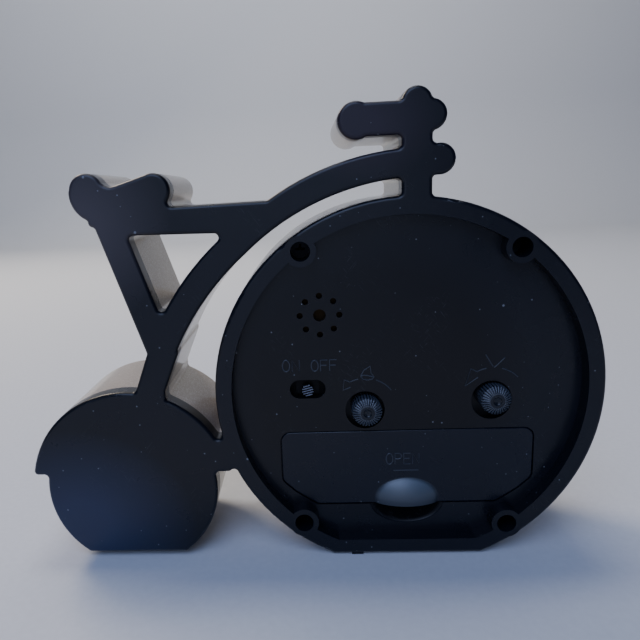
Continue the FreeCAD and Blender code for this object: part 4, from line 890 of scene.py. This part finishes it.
@dataclass
class ScrewForm:
    """The sizes of one kind of cross-recessed screw, in millimetres."""

    head_radius: float
    head_height: float
    shank_radius: float
    pitch: float
    recess: float = 0.62

    def set_of(self, name: str, node: str, material: bpy.types.Material) -> bpy.types.Mesh:
        """Put one screw where each solid of a CAD node is.

        Args:
            name: the pattern's name.
            node: the node that holds the screws.
            material: the finish.

        Returns:
            All the screws as one mesh.
        """
        boxes = islands(node)
        host = bpy.data.meshes.new(name)
        seats = [((low.x + high.x) / 2, high.y, (low.z + high.z) / 2) for low, high in boxes]
        host.from_pydata(seats, [], [])
        length = boxes[0][1].y - boxes[0][0].y
        work = Pattern(name, HeadRadius=self.head_radius * MM, HeadHeight=self.head_height * MM,
                       ShankRadius=self.shank_radius * MM, Length=length, Pitch=self.pitch * MM,
                       Recess=self.recess)
        given = work.given
        head = work.add("GeometryNodeMeshCylinder", {
            "Vertices": 32, "Radius": given["HeadRadius"], "Depth": given["HeadHeight"]})
        half_head = work.sum("MULTIPLY", given["HeadHeight"], 0.5)
        head_spot = work.add("ShaderNodeCombineXYZ", {"Z": work.sum("MULTIPLY", half_head, -1.0)})
        head_set = work.add("GeometryNodeTransform", {
            "Geometry": head.outputs[0], "Translation": head_spot.outputs[0]})
        bars = []
        for first, second in ((2.0, 0.42), (0.42, 2.0)):
            reach = work.sum("MULTIPLY", given["HeadRadius"], given["Recess"])
            size = work.add("ShaderNodeCombineXYZ", {
                "X": work.sum("MULTIPLY", reach, first), "Y": work.sum("MULTIPLY", reach, second),
                "Z": given["HeadHeight"]})
            bars.append(work.add("GeometryNodeMeshCube", {"Size": size.outputs[0]}).outputs[0])
        cutter = work.add("GeometryNodeMeshBoolean", {"Mesh 2": bars[0]}, operation="UNION")
        work.tree.links.new(bars[1], cutter.inputs["Mesh 2"])
        crossed = work.add("GeometryNodeMeshBoolean", {
            "Mesh 1": head_set.outputs[0], "Mesh 2": cutter.outputs[0]}, operation="DIFFERENCE")
        stem = work.sum("SUBTRACT", given["Length"], given["HeadHeight"])
        core = work.sum("MULTIPLY", given["ShankRadius"], 0.8)
        shank = work.add("GeometryNodeMeshCone", {
            "Vertices": 20, "Radius Top": work.sum("MULTIPLY", core, 0.35), "Radius Bottom": core,
            "Depth": stem})
        shank_spot = work.add("ShaderNodeCombineXYZ", {
            "Z": work.sum("MULTIPLY", given["HeadHeight"], -1.0)})
        shank_set = work.add("GeometryNodeTransform", {
            "Geometry": shank.outputs[0], "Translation": shank_spot.outputs[0],
            "Rotation": (math.pi, 0.0, 0.0)})
        turns = work.sum("DIVIDE", stem, given["Pitch"])
        line = work.add("GeometryNodeCurveSpiral", {
            "Resolution": 14, "Rotations": turns, "Start Radius": core,
            "End Radius": work.sum("MULTIPLY", core, 0.4), "Height": stem})
        ridge = work.add("GeometryNodeCurvePrimitiveCircle", {
            "Resolution": 5, "Radius": work.sum("MULTIPLY", given["ShankRadius"], 0.19)})
        thread = work.add("GeometryNodeCurveToMesh", {
            "Curve": line.outputs[0], "Profile Curve": ridge.outputs[0], "Fill Caps": True})
        thread_set = work.add("GeometryNodeTransform", {
            "Geometry": thread.outputs[0], "Translation": shank_spot.outputs[0],
            "Rotation": (math.pi, 0.0, 0.0)})
        whole = work.add("GeometryNodeJoinGeometry", {0: crossed.outputs[0]})
        work.tree.links.new(shank_set.outputs[0], whole.inputs[0])
        work.tree.links.new(thread_set.outputs[0], whole.inputs[0])
        points = work.add("GeometryNodeMeshToPoints", {"Mesh": given["Geometry"]})
        copies = work.add("GeometryNodeInstanceOnPoints", {
            "Points": points.outputs[0], "Instance": whole.outputs[0],
            "Rotation": (-math.pi / 2, 0.0, 0.0)})
        return work.grow(copies.outputs[0], material, host)


# ---- the raised marks on the back ------------------------------------------------------------
class Glyph(Enum):
    """Capital letters as strokes in a unit box, each a list of points and whether it closes."""

    O = "O"
    N = "N"
    F = "F"
    P = "P"
    E = "E"

    def strokes(self) -> list[tuple[list[Point], bool]]:
        """The letter's strokes, drawn to the right and up."""
        ring = [(0.5 + 0.5 * math.cos(a), 0.5 + 0.5 * math.sin(a))
                for a in (2 * math.pi * i / 28 for i in range(28))]
        bowl = [(0.5 + 0.5 * math.cos(a), 0.74 + 0.26 * math.sin(a))
                for a in (math.pi / 2 - math.pi * i / 10 for i in range(11))]
        return {
            Glyph.O: [(ring, True)],
            Glyph.N: [([(0, 0), (0, 1), (1, 0), (1, 1)], False)],
            Glyph.F: [([(0, 0), (0, 1), (1, 1)], False), ([(0, 0.52), (0.85, 0.52)], False)],
            Glyph.P: [([(0, 0), (0, 1)] + bowl + [(0, 0.48)], False)],
            Glyph.E: [([(1, 0), (0, 0), (0, 1), (1, 1)], False), ([(0, 0.52), (0.85, 0.52)], False)],
        }[self]


@dataclass
class RaisedWord:
    """A word of raised strokes that reads correctly from behind, where right is -X."""

    letters: list[Glyph]
    left: float
    right: float
    low: float
    high: float
    gap: float = 0.6

    def lines(self) -> list[tuple[list[Point], bool]]:
        """The strokes of all letters, as X and Z in millimetres."""
        count = len(self.letters)
        width = (self.left - self.right - self.gap * (count - 1)) / count
        found = []
        for number, letter in enumerate(self.letters):
            start = self.left - number * (width + self.gap)
            for points, closed in letter.strokes():
                found.append(([(start - u * width, self.low + v * (self.high - self.low)) for u, v in points],
                              closed))
        return found


@dataclass
class TurnArrow:
    """A raised curved arrow round a knob hole, with its head at the left as seen from behind."""

    x: float
    z: float
    radius: float = 9.4
    first: float = 38.0
    last: float = 116.0
    skip_from: float = 70.0
    skip_to: float = 101.0
    reach: float = 19.0
    barb: float = 1.4

    def spot(self, angle: float, radius: float) -> Point:
        """The point at an angle from photo right, turned towards +X, and a radius."""
        turn = math.radians(angle)
        return self.x - radius * math.cos(turn), self.z + radius * math.sin(turn)

    def arc(self, start: float, end: float, radius: float) -> list[Point]:
        """Points along a part of the arrow's circle."""
        count = max(2, round(abs(end - start) / 5))
        return [self.spot(start + (end - start) * i / count, radius) for i in range(count + 1)]

    def lines(self) -> list[tuple[list[Point], bool]]:
        """The shaft's two stretches, the second of which ends in the head's outline."""
        right = self.arc(self.first, self.skip_from, self.radius)
        left = self.arc(self.skip_to, self.last, self.radius)
        left.append(self.spot(self.last + 6, self.radius + self.barb))
        left.append(self.spot(self.last + self.reach, self.radius - 0.8))
        left.append(self.spot(self.last + 4, self.radius - self.barb))
        return [(right, False), (left, False)]


@dataclass
class BackMarks:
    """The raised generic words and signs on the tray's floor and on the battery door."""

    palette: Palette
    level: float = TRAY
    stroke: float = 0.32
    on_word: RaisedWord = field(default_factory=lambda: RaisedWord(
        [Glyph.O, Glyph.N], 34.1, 29.3, 55.0, 58.3, 0.7))
    off_word: RaisedWord = field(default_factory=lambda: RaisedWord(
        [Glyph.O, Glyph.F, Glyph.F], 26.0, 18.9, 54.9, 58.1, 0.6))
    open_word: RaisedWord = field(default_factory=lambda: RaisedWord(
        [Glyph.O, Glyph.P, Glyph.E, Glyph.N], 5.3, -4.1, 26.3, 29.6, 0.6))
    alarm_arrow: TurnArrow = field(default_factory=lambda: TurnArrow(11.17, 43.0))
    time_arrow: TurnArrow = field(default_factory=lambda: TurnArrow(-24.19, 45.01, 9.5, 44.0, 117.0, 75.0,
                                                                    101.0, 33.0, 1.6))

    def bell(self) -> list[tuple[list[Point], bool]]:
        """A small tilted bell over the alarm knob."""
        dome = [(9.1, 52.1), (8.55, 52.75), (9.35, 54.0), (9.61, 55.9), (11.3, 54.85), (11.85, 53.9),
                (12.3, 53.1)]
        mouth = [(12.3, 53.1), (11.6, 52.2), (10.4, 51.85), (9.1, 52.1)]
        lip = [(12.3, 53.1), (11.4, 53.35), (10.2, 53.2), (9.2, 52.9), (8.55, 52.75)]
        return [(dome, False), (mouth, False), (lip, False)]

    def hands(self) -> list[tuple[list[Point], bool]]:
        """Two clock hands over the time knob."""
        return [([(-22.1, 58.3), (-24.2, 54.8)], False), ([(-24.5, 54.5), (-27.4, 57.3)], False)]

    def build(self) -> None:
        """Make the marks of the case and those of the door."""
        on_case = (self.on_word.lines() + self.off_word.lines() + self.bell() + self.hands()
                   + self.alarm_arrow.lines() + self.time_arrow.lines())
        # the strokes are painted pale, a painted highlight on their crests
        mesh = stroked("raised_signs", on_case, self.level, self.stroke, self.palette["sign"])
        shade(mesh)
        piece("raised_signs", mesh, Body.CASE, self.palette["sign"], "cover")
        on_door = self.open_word.lines() + [([(3.2, 24.35), (-3.9, 24.35)], False)]
        mesh = stroked("raised_open", on_door, self.level, self.stroke, self.palette["sign"])
        shade(mesh)
        piece("raised_open", mesh, Body.DOOR, self.palette["sign"], "door")


# ---- sub-assemblies --------------------------------------------------------------------------
@dataclass
class Casework:
    """The light shell, the dark cover, the battery door and the four case screws."""

    palette: Palette
    screw: ScrewForm = field(default_factory=lambda: ScrewForm(2.4, 1.6, 1.4, 1.1))

    def build(self) -> None:
        """Dress the case and make its screws."""
        self.palette.dress("shell", "front_shell")
        self.palette.dress("cover", "rear_cover")
        self.palette.dress("door", "battery_door")
        # the case screws are painted near black, a painted shade in the deep bosses
        mesh = self.screw.set_of("case_screw_row", "case_screws", self.palette["dark_screw"])
        shade(mesh)
        piece("case_screw_row", mesh, Body.CASE, self.palette["dark_screw"], "screw", "case_screws")


@dataclass
class ThumbDome:
    """The dome that a thumb pushes: a cap of an ellipsoid on the door, cut flat at the door's lower edge."""

    palette: Palette
    x: float = -0.5
    z: float = 15.8
    half_width: float = 9.0
    half_height: float = 6.0
    rise: float = 2.6
    sink: float = 6.0
    low: float = 14.12

    def cap(self) -> bpy.types.Mesh:
        """The closed cap, whose base lies inside the door's plate."""
        build = bmesh.new()
        bmesh.ops.create_uvsphere(build, u_segments=72, v_segments=48, radius=1.0)
        depth = self.rise + self.sink
        spread = math.sqrt(1 - (self.sink / depth) ** 2)
        for vertex in build.verts:
            side, out, up = vertex.co
            vertex.co = mm(self.x + side * self.half_width / spread, TRAY - self.sink + out * depth,
                           self.z + up * self.half_height / spread)
        for corner, outwards in ((mm(0, TRAY - 0.2, 0), (0, -1, 0)), (mm(0, 0, self.low), (0, 0, -1))):
            bmesh.ops.bisect_plane(build, geom=[*build.verts, *build.edges, *build.faces], plane_co=corner,
                                   plane_no=outwards, clear_outer=True)
            bmesh.ops.holes_fill(build, edges=[edge for edge in build.edges if edge.is_boundary])
        return finished(build, "thumb_dome")

    def build(self) -> None:
        """Seat the dome on the door."""
        mesh = self.cap()
        shade(mesh)
        piece("thumb_dome", mesh, Body.DOOR, self.palette["door"], "door")


@dataclass
class SetKnob:
    """A small set knob: ribs run up its skirt and over its bevel to a flat top with a dimple."""

    palette: Palette
    name: str
    node: str
    body: Body
    x: float
    z: float
    ribs: int = 30
    near: float = 8.2
    shoulder: float = 15.4
    far: float = 16.5
    radius: float = 4.25
    top: float = 2.4
    rib_depth: float = 0.42
    dimple: float = 1.2
    dimple_depth: float = 0.5

    def core(self) -> bpy.types.Mesh:
        """The smooth body inside the ribs, with its dimple and the hole's blind end."""
        inner, edge = self.radius - self.rib_depth, 0.22
        profile = [(0.02, self.near), (inner - edge, self.near), (inner, self.near + edge),
                   (inner, self.shoulder - 0.3), (inner - 0.3, self.shoulder - 0.1),
                   (self.top - 0.15, self.far - 0.3), (self.top - 0.3, self.far - 0.1),
                   (self.top - 0.5, self.far - 0.03), (self.dimple + 0.18, self.far - 0.03),
                   (self.dimple, self.far - 0.07)]
        for i in range(1, 8):
            share = i / 8
            profile.append((self.dimple * math.cos(share * math.pi / 2),
                            self.far - 0.07 - self.dimple_depth * math.sin(share * math.pi / 2)))
        profile.append((0.02, self.far - 0.07 - self.dimple_depth))
        return lathe(self.name + "_core", profile, self.x, self.z)

    def rib(self) -> bpy.types.Mesh:
        """One rib about the Y axis, at +X, narrowing as the bevel does."""
        outer = self.radius
        path = [(outer - 0.16, self.near + 0.15), (outer, self.near + 0.4), (outer, self.shoulder - 0.25),
                (outer - 0.12, self.shoulder), (outer - 0.35, self.shoulder + 0.18),
                (self.top + 0.3, self.far - 0.16), (self.top, self.far - 0.04),
                (self.top - 0.3, self.far - 0.06), (self.top - 0.45, self.far - 0.2)]
        pitch = 2 * math.pi / self.ribs
        build = bmesh.new()
        rows = []
        for radius, y in path:
            half = radius * pitch * 0.36
            row = []
            for across, rise in ((-1.0, -0.6), (-0.62, -0.16), (0.0, 0.0), (0.62, -0.16), (1.0, -0.6)):
                row.append(build.verts.new(mm(radius + rise * self.rib_depth, y, across * half)))
            rows.append(row)
        for first, second in zip(rows, rows[1:]):
            for i in range(4):
                build.faces.new((first[i], first[i + 1], second[i + 1], second[i]))
            build.faces.new((first[4], first[0], second[0], second[4]))
        build.faces.new(rows[0])
        build.faces.new(rows[-1])
        return finished(build, self.name + "_rib")

    def build(self) -> None:
        """Make the knob in place of its plain CAD node."""
        core = self.core()
        shade(core, 50)
        piece(self.name, core, self.body, self.palette["knob"], "knob", self.node)
        # the ribs are painted paler than the core, a painted highlight
        ribs = ring_of(self.name + "_ribs", self.rib(), self.ribs, self.x, self.z, self.palette["rubbed"])
        shade(ribs, 50)
        piece(self.name + "_ribs", ribs, self.body, self.palette["rubbed"], "knob")


@dataclass
class SlideSwitch:
    """The slide switch in its slot: a ribbed round button on a slab, over the switch's body."""

    palette: Palette
    x: float = 27.2
    z: float = 49.65
    slab: tuple[float, float] = (3.4, 2.3)
    near: float = 9.0
    slab_far: float = 10.4
    far: float = 12.8
    drop: float = 0.65
    radius: float = 1.7
    ribs: int = 5
    tilt: float = 14.0

    def slab_mesh(self) -> bpy.types.Mesh:
        """The flat slab that covers the slot from inside, with eased edges."""
        build = bmesh.new()
        bmesh.ops.create_cube(build, size=1.0)
        size = Vector((2 * self.slab[0], self.slab_far - self.near, 2 * self.slab[1]))
        middle = (self.near + self.slab_far) / 2
        for vertex in build.verts:
            vertex.co = mm(self.x + vertex.co.x * size.x, middle + vertex.co.y * size.y,
                           self.z + vertex.co.z * size.z)
        bmesh.ops.bevel(build, geom=build.edges, offset=0.15 * MM, segments=2, affect="EDGES")
        return finished(build, "slider_slab")

    def button(self) -> bpy.types.Mesh:
        """The round button below its ribs."""
        valley = self.far - 0.4
        return lathe("slider_button", [(0.02, self.near + 0.2), (self.radius, self.near + 0.2),
                                       (self.radius, valley - 0.12), (self.radius - 0.12, valley),
                                       (0.02, valley)], self.x, self.z - self.drop, 48)

    def rib_row(self) -> bpy.types.Mesh:
        """Parallel ribs, each as long as the button's circle lets it be."""
        work = Pattern("slider_ribs", Count=self.ribs, Radius=self.radius * MM, CentreX=self.x * MM,
                       CentreZ=(self.z - self.drop) * MM, Level=(self.far - 0.45) * MM,
                       Tilt=math.radians(self.tilt))
        given = work.given
        points = work.add("GeometryNodePoints", {"Count": given["Count"]})
        index = work.add("GeometryNodeInputIndex").outputs[0]
        step = work.sum("DIVIDE", work.sum("MULTIPLY", given["Radius"], 2.0), given["Count"])
        middle = work.sum("SUBTRACT", work.sum("MULTIPLY", given["Count"], 0.5), 0.5)
        up = work.sum("MULTIPLY", work.sum("SUBTRACT", index, middle), step)
        square = work.sum("SUBTRACT", work.sum("MULTIPLY", given["Radius"], given["Radius"]),
                          work.sum("MULTIPLY", up, up))
        chord = work.sum("MULTIPLY", work.sum("SQRT", square), 0.94)
        spot = work.add("ShaderNodeCombineXYZ", {"Z": up})
        moved = work.add("GeometryNodeSetPosition", {
            "Geometry": points.outputs[0], "Position": spot.outputs[0]})
        stretch = work.add("ShaderNodeCombineXYZ", {
            "X": chord, "Y": 0.45 * MM, "Z": work.sum("MULTIPLY", step, 0.22)})
        ball = work.add("GeometryNodeMeshCylinder", {
            "Vertices": 16, "Side Segments": 1, "Fill Segments": 1, "Radius": 1.0, "Depth": 2.0})
        lying = work.add("GeometryNodeTransform", {
            "Geometry": ball.outputs[0], "Rotation": (0.0, math.pi / 2, 0.0)})
        copies = work.add("GeometryNodeInstanceOnPoints", {
            "Points": moved.outputs[0], "Instance": lying.outputs[0], "Scale": stretch.outputs[0]})
        real = work.add("GeometryNodeRealizeInstances", {"Geometry": copies.outputs[0]})
        centre = work.add("ShaderNodeCombineXYZ", {
            "X": given["CentreX"], "Y": given["Level"], "Z": given["CentreZ"]})
        lean = work.add("ShaderNodeCombineXYZ", {"Y": given["Tilt"]})
        placed = work.add("GeometryNodeTransform", {
            "Geometry": real.outputs[0], "Translation": centre.outputs[0], "Rotation": lean.outputs[0]})
        # the ribs are painted pale, a painted highlight
        return work.grow(placed.outputs[0], self.palette["worn"])

    def build(self) -> None:
        """Make the slider and dress the switch's body."""
        self.palette.dress("switch", "switch_body")
        mesh = join("slide_button", [self.slab_mesh(), self.button()])
        shade(mesh)
        piece("slide_button", mesh, Body.SWITCH, self.palette["slider"], "slider", "switch_slider")
        ribs = self.rib_row()
        shade(ribs)
        piece("slide_button_ribs", ribs, Body.SWITCH, self.palette["worn"], "slider")


@dataclass
class DialFace:
    """The printed dial with its numbers and minute track, the hands, the ring and the lens."""

    palette: Palette
    number_radius: float = 29.0
    number_size: float = 8.0
    track_radius: float = 41.6
    tick_length: float = 1.8
    tick_width: float = 0.35
    print_height: float = 0.1

    def numbers(self) -> bpy.types.Mesh:
        """The numbers 1 to 12, upright, in a plain typeface."""
        meshes = []
        for hour in range(1, 13):
            text = bpy.data.curves.new("number", "FONT")
            text.body = str(hour)
            text.size = self.number_size * MM
            text.align_x = "CENTER"
            text.align_y = "CENTER"
            text.extrude = self.print_height * MM / 2
            text.resolution_u = 6
            holder = bpy.data.objects.new("number", text)
            bpy.context.scene.collection.objects.link(holder)
            graph = bpy.context.evaluated_depsgraph_get()
            mesh = bpy.data.meshes.new_from_object(holder.evaluated_get(graph), depsgraph=graph)
            bpy.data.objects.remove(holder)
            angle = math.radians(hour * 30)
            spot = mm(self.number_radius * math.sin(angle), DIAL - self.print_height / 2 - 0.01,
                      DRUM_HEIGHT + self.number_radius * math.cos(angle))
            mesh.transform(Matrix.Translation(spot) @ Matrix.Rotation(math.pi / 2, 4, "X"))
            meshes.append(mesh)
        return join("dial_numbers", meshes)

    def tick(self) -> bpy.types.Mesh:
        """One minute mark, standing at the top of the dial's circle."""
        build = bmesh.new()
        bmesh.ops.create_cube(build, size=1.0)
        level = DIAL - self.print_height / 2 - 0.01
        for vertex in build.verts:
            vertex.co = mm(vertex.co.x * self.tick_width, level + vertex.co.y * self.print_height,
                           self.track_radius + vertex.co.z * self.tick_length)
        return finished(build, "minute_tick")

    def build(self) -> None:
        """Print the dial and dress the hands and the glass."""
        dress = self.palette.dress
        dress("dial", "dial")
        dress("ink", "dial_marks")
        dress("hands", "hour_hand", "minute_hand")
        dress("alarm_hand", "second_hand", "alarm_hand")
        dress("inner_bezel", "inner_bezel")
        dress("lens", "lens")
        piece("dial_numbers", self.numbers(), Body.CASE, self.palette["ink"], "marks")
        track = ring_of("minute_track", self.tick(), 60, 0.0, DRUM_HEIGHT, self.palette["ink"])
        piece("minute_track", track, Body.CASE, self.palette["ink"], "marks")


@dataclass
class Movement:
    """The quartz movement: its case, plate, gears, motor and small screws."""

    palette: Palette
    box_screw: ScrewForm = field(default_factory=lambda: ScrewForm(1.9, 1.2, 0.95, 0.8))
    coil_turns: int = 34

    def winding(self) -> bpy.types.Mesh:
        """The coil's outer layer of enamelled wire over its inner layers."""
        low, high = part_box("coil")
        y, z = (low.y + high.y) / 2 / MM, (low.z + high.z) / 2 / MM
        near, far = low.x / MM, high.x / MM
        outer = (high.z - low.z) / 2 / MM
        wire = (far - near) / self.coil_turns / 2
        return coiled("coil_outer_layer", self.coil_turns - 1, near + wire, far - wire, outer - wire / 2,
                      outer - wire / 2, wire * 0.98, y, z, self.palette["copper"])

    def build(self) -> None:
        """Dress the train and make the winding and the screws."""
        dress = self.palette.dress
        dress("movement", "movement_front", "movement_back")
        dress("plate", "train_plate")
        dress("gear", "second_wheel", "third_wheel", "centre_wheel", "intermediate_wheel", "cannon_pinion",
              "hour_wheel", "minute_wheel", "idler_wheel", "time_set_shaft", "alarm_wheel", "alarm_set_shaft")
        dress("rotor", "rotor")
        dress("stator", "stator")
        dress("bobbin", "coil_bobbin")
        dress("copper", "coil")
        piece("coil_outer_layer", self.winding(), Body.CASE, self.palette["copper"], "copper")
        for node in ("movement_screws", "mounting_screws"):
            mesh = self.box_screw.set_of(node + "_set", node, self.palette["screw"])
            shade(mesh)
            piece(node + "_set", mesh, Body.CASE, self.palette["screw"], "small_screw", node)


@dataclass
class Electronics:
    """The circuit board, the chip under its epoxy drop, the crystal and the buzzer."""

    palette: Palette

    def build(self) -> None:
        """Dress the electronics."""
        dress = self.palette.dress
        dress("board", "circuit_board")
        dress("chip", "clock_chip")
        dress("can", "quartz_crystal")
        # the buzzer is painted dark, a painted shade behind the grille
        dress("buzzer", "buzzer")


@dataclass
class BatteryBay:
    """One AA cell between a plate and a conical spring."""

    palette: Palette
    turns: float = 3.5
    wire: float = 0.42
    wide: float = 3.6
    narrow: float = 2.3
    plate: float = 0.3

    def spring(self) -> bpy.types.Mesh:
        """The conical contact spring, wound on its square base plate."""
        low, high = (Vector(corner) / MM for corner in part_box("battery_spring"))
        y, z = (low.y + high.y) / 2, (low.z + high.z) / 2
        build = bmesh.new()
        bmesh.ops.create_cube(build, size=1.0)
        for vertex in build.verts:
            vertex.co = mm(low.x + (vertex.co.x + 0.5) * self.plate, y + vertex.co.y * (high.y - low.y),
                           z + vertex.co.z * (high.z - low.z))
        base = finished(build, "spring_base")
        wire = coiled("spring_wire", self.turns, low.x + self.plate + self.wire, high.x - self.wire,
                      self.wide, self.narrow, self.wire, y, z, self.palette["contact"])
        return join("contact_spring", [base, wire])

    def build(self) -> None:
        """Dress the cell and its plate, and wind the spring."""
        self.palette.dress("cell", "battery")
        self.palette.dress("contact", "battery_plate")
        mesh = self.spring()
        shade(mesh)
        piece("contact_spring", mesh, Body.CASE, self.palette["contact"], "contact", "battery_spring")


# ---- the studio ------------------------------------------------------------------------------
@dataclass
class Camera:
    """The camera behind the clock, a little above it and to its left."""

    spot: tuple[float, float, float] = (27.13, 171.1, 104.1)
    pitch: float = 11.408
    roll: float = -2.605
    yaw: float = -3.185
    focal: float = 32.83
    shift: tuple[float, float] = (0.0727, -0.0119)

    def turned(self, right: float, up: float, ahead: float) -> Vector:
        """Turn a direction of the camera into the clock's frame."""
        roll, pitch, yaw = (math.radians(a) for a in (self.roll, self.pitch, self.yaw))
        side = math.cos(roll) * right - math.sin(roll) * up
        rise = math.sin(roll) * right + math.cos(roll) * up
        depth = ahead * math.cos(pitch) + rise * math.sin(pitch)
        height = -ahead * math.sin(pitch) + rise * math.cos(pitch)
        across = math.cos(yaw) * side + math.sin(yaw) * depth
        depth = -math.sin(yaw) * side + math.cos(yaw) * depth
        return Vector((-across, -depth, height))

    def build(self) -> None:
        """Set the camera up."""
        lens = bpy.data.cameras.new("camera")
        lens.sensor_width = 36.0
        lens.lens = self.focal
        lens.shift_x, lens.shift_y = self.shift
        lens.clip_start = 0.005
        holder = bpy.data.objects.new("camera", lens)
        bpy.context.scene.collection.objects.link(holder)
        axes = Matrix((self.turned(1, 0, 0), self.turned(0, 1, 0), -self.turned(0, 0, 1))).transposed()
        holder.matrix_world = Matrix.Translation(mm(*self.spot)) @ axes.to_4x4()
        bpy.context.scene.camera = holder
        LOG.info("camera at %s", holder.location)


@dataclass
class Studio:
    """A plain pale floor that curves up behind the clock, and soft light."""

    width: float = 3.0
    depth: float = 1.2
    bend: float = 0.35
    height: float = 1.4

    def floor(self) -> None:
        """Lay the floor and its backdrop in one sheet."""
        build = bmesh.new()
        line = [(1.2, 0.0), (-self.depth, 0.0)]
        for i in range(1, 17):
            angle = math.pi / 2 * i / 16
            line.append((-self.depth - self.bend * math.sin(angle), self.bend * (1 - math.cos(angle))))
        line.append((-self.depth - self.bend, self.height))
        sides = (-self.width / 2, self.width / 2)
        rows = [[build.verts.new(Vector((x, y, z))) for x in sides] for y, z in line]
        for first, second in zip(rows, rows[1:]):
            build.faces.new((first[0], first[1], second[1], second[0]))
        mesh = bpy.data.meshes.new("floor")
        build.to_mesh(mesh)
        build.free()
        mesh.shade_smooth()
        material, tree = fresh_tree("pale_matt_paper")
        place = add(tree, "ShaderNodeTexCoord").outputs["Object"]
        tooth = add(tree, "ShaderNodeTexNoise", {"Vector": place, "Scale": per(2.0), "Detail": 3.0})
        colour = add(tree, "ShaderNodeMix", {
            0: tooth.outputs["Fac"], 6: linear("c4c6ca"), 7: linear("cfd1d4")}, data_type="RGBA")
        shader = add(tree, "ShaderNodeBsdfPrincipled", {"Base Color": colour.outputs[2], "Roughness": 0.75})
        add(tree, "ShaderNodeOutputMaterial", {"Surface": shader.outputs[0]})
        mesh.materials.append(material)
        sheet = bpy.data.objects.new("floor", mesh)
        bpy.context.scene.collection.objects.link(sheet)

    def lamp(self, name: str, spot: Vector, size: float, power: float, colour: str,
             target: Vector = Vector((0.03, 0.0, 0.06))) -> None:
        """Hang a soft square lamp that looks at the clock, or at another target.

        Args:
            name: the lamp's name.
            spot: its place in metres.
            size: its side in metres.
            power: its power in watts.
            colour: its colour as sRGB hex.
            target: the point that it looks at, in metres.
        """
        light = bpy.data.lights.new(name, "AREA")
        light.size = size
        light.energy = power
        light.color = linear(colour)[:3]
        holder = bpy.data.objects.new(name, light)
        holder.location = spot
        aim = target - spot
        holder.rotation_euler = aim.to_track_quat("-Z", "Y").to_euler()
        bpy.context.scene.collection.objects.link(holder)

    def build(self) -> None:
        """Lay the floor, set the world's light and hang the lamps."""
        self.floor()
        world = bpy.data.worlds.new("studio")
        bpy.context.scene.world = world
        world.use_nodes = True
        world.node_tree.nodes["Background"].inputs["Color"].default_value = linear("7f9be0")
        world.node_tree.nodes["Background"].inputs["Strength"].default_value = 0.05
        # the key light stands behind the clock, so the shadow falls towards the camera
        self.lamp("key", Vector((0.7, -0.62, 0.85)), 0.45, 8.5, "fff0dc")
        # a broad cool window in front and above fills the shadow and picks out the dome, ribs and edges
        self.lamp("window", Vector((0.2, 0.68, 0.86)), 0.75, 8.0, "b4caff")
        # a faint card at eye level, which the upper parts of the case and the dome reflect
        self.lamp("card", Vector((0.25, 1.5, 0.34)), 1.2, 5.0, "ccd8fa")
        self.lamp("wall_wash", Vector((0.15, -0.3, 1.7)), 0.8, 28.0, "f4f4f6", Vector((0.2, -1.55, 1.0)))


def main() -> None:
    """Build the studio and dress the clock, one sub-assembly after another."""
    logging.basicConfig(level=logging.INFO, format="%(name)s: %(message)s")
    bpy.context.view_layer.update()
    Camera().build()
    Studio().build()
    palette = Palette()
    Casework(palette).build()
    BackMarks(palette).build()
    ThumbDome(palette).build()
    SetKnob(palette, "time_knob", "time_set_knob", Body.TIME_SET, -24.75, 45.7).build()
    SetKnob(palette, "alarm_knob", "alarm_set_knob", Body.ALARM_SET, 10.7, 43.1).build()
    SlideSwitch(palette).build()
    DialFace(palette).build()
    Movement(palette).build()
    Electronics(palette).build()
    BatteryBay(palette).build()
    LOG.info("sizes written")


if __name__ == "__main__":
    main()
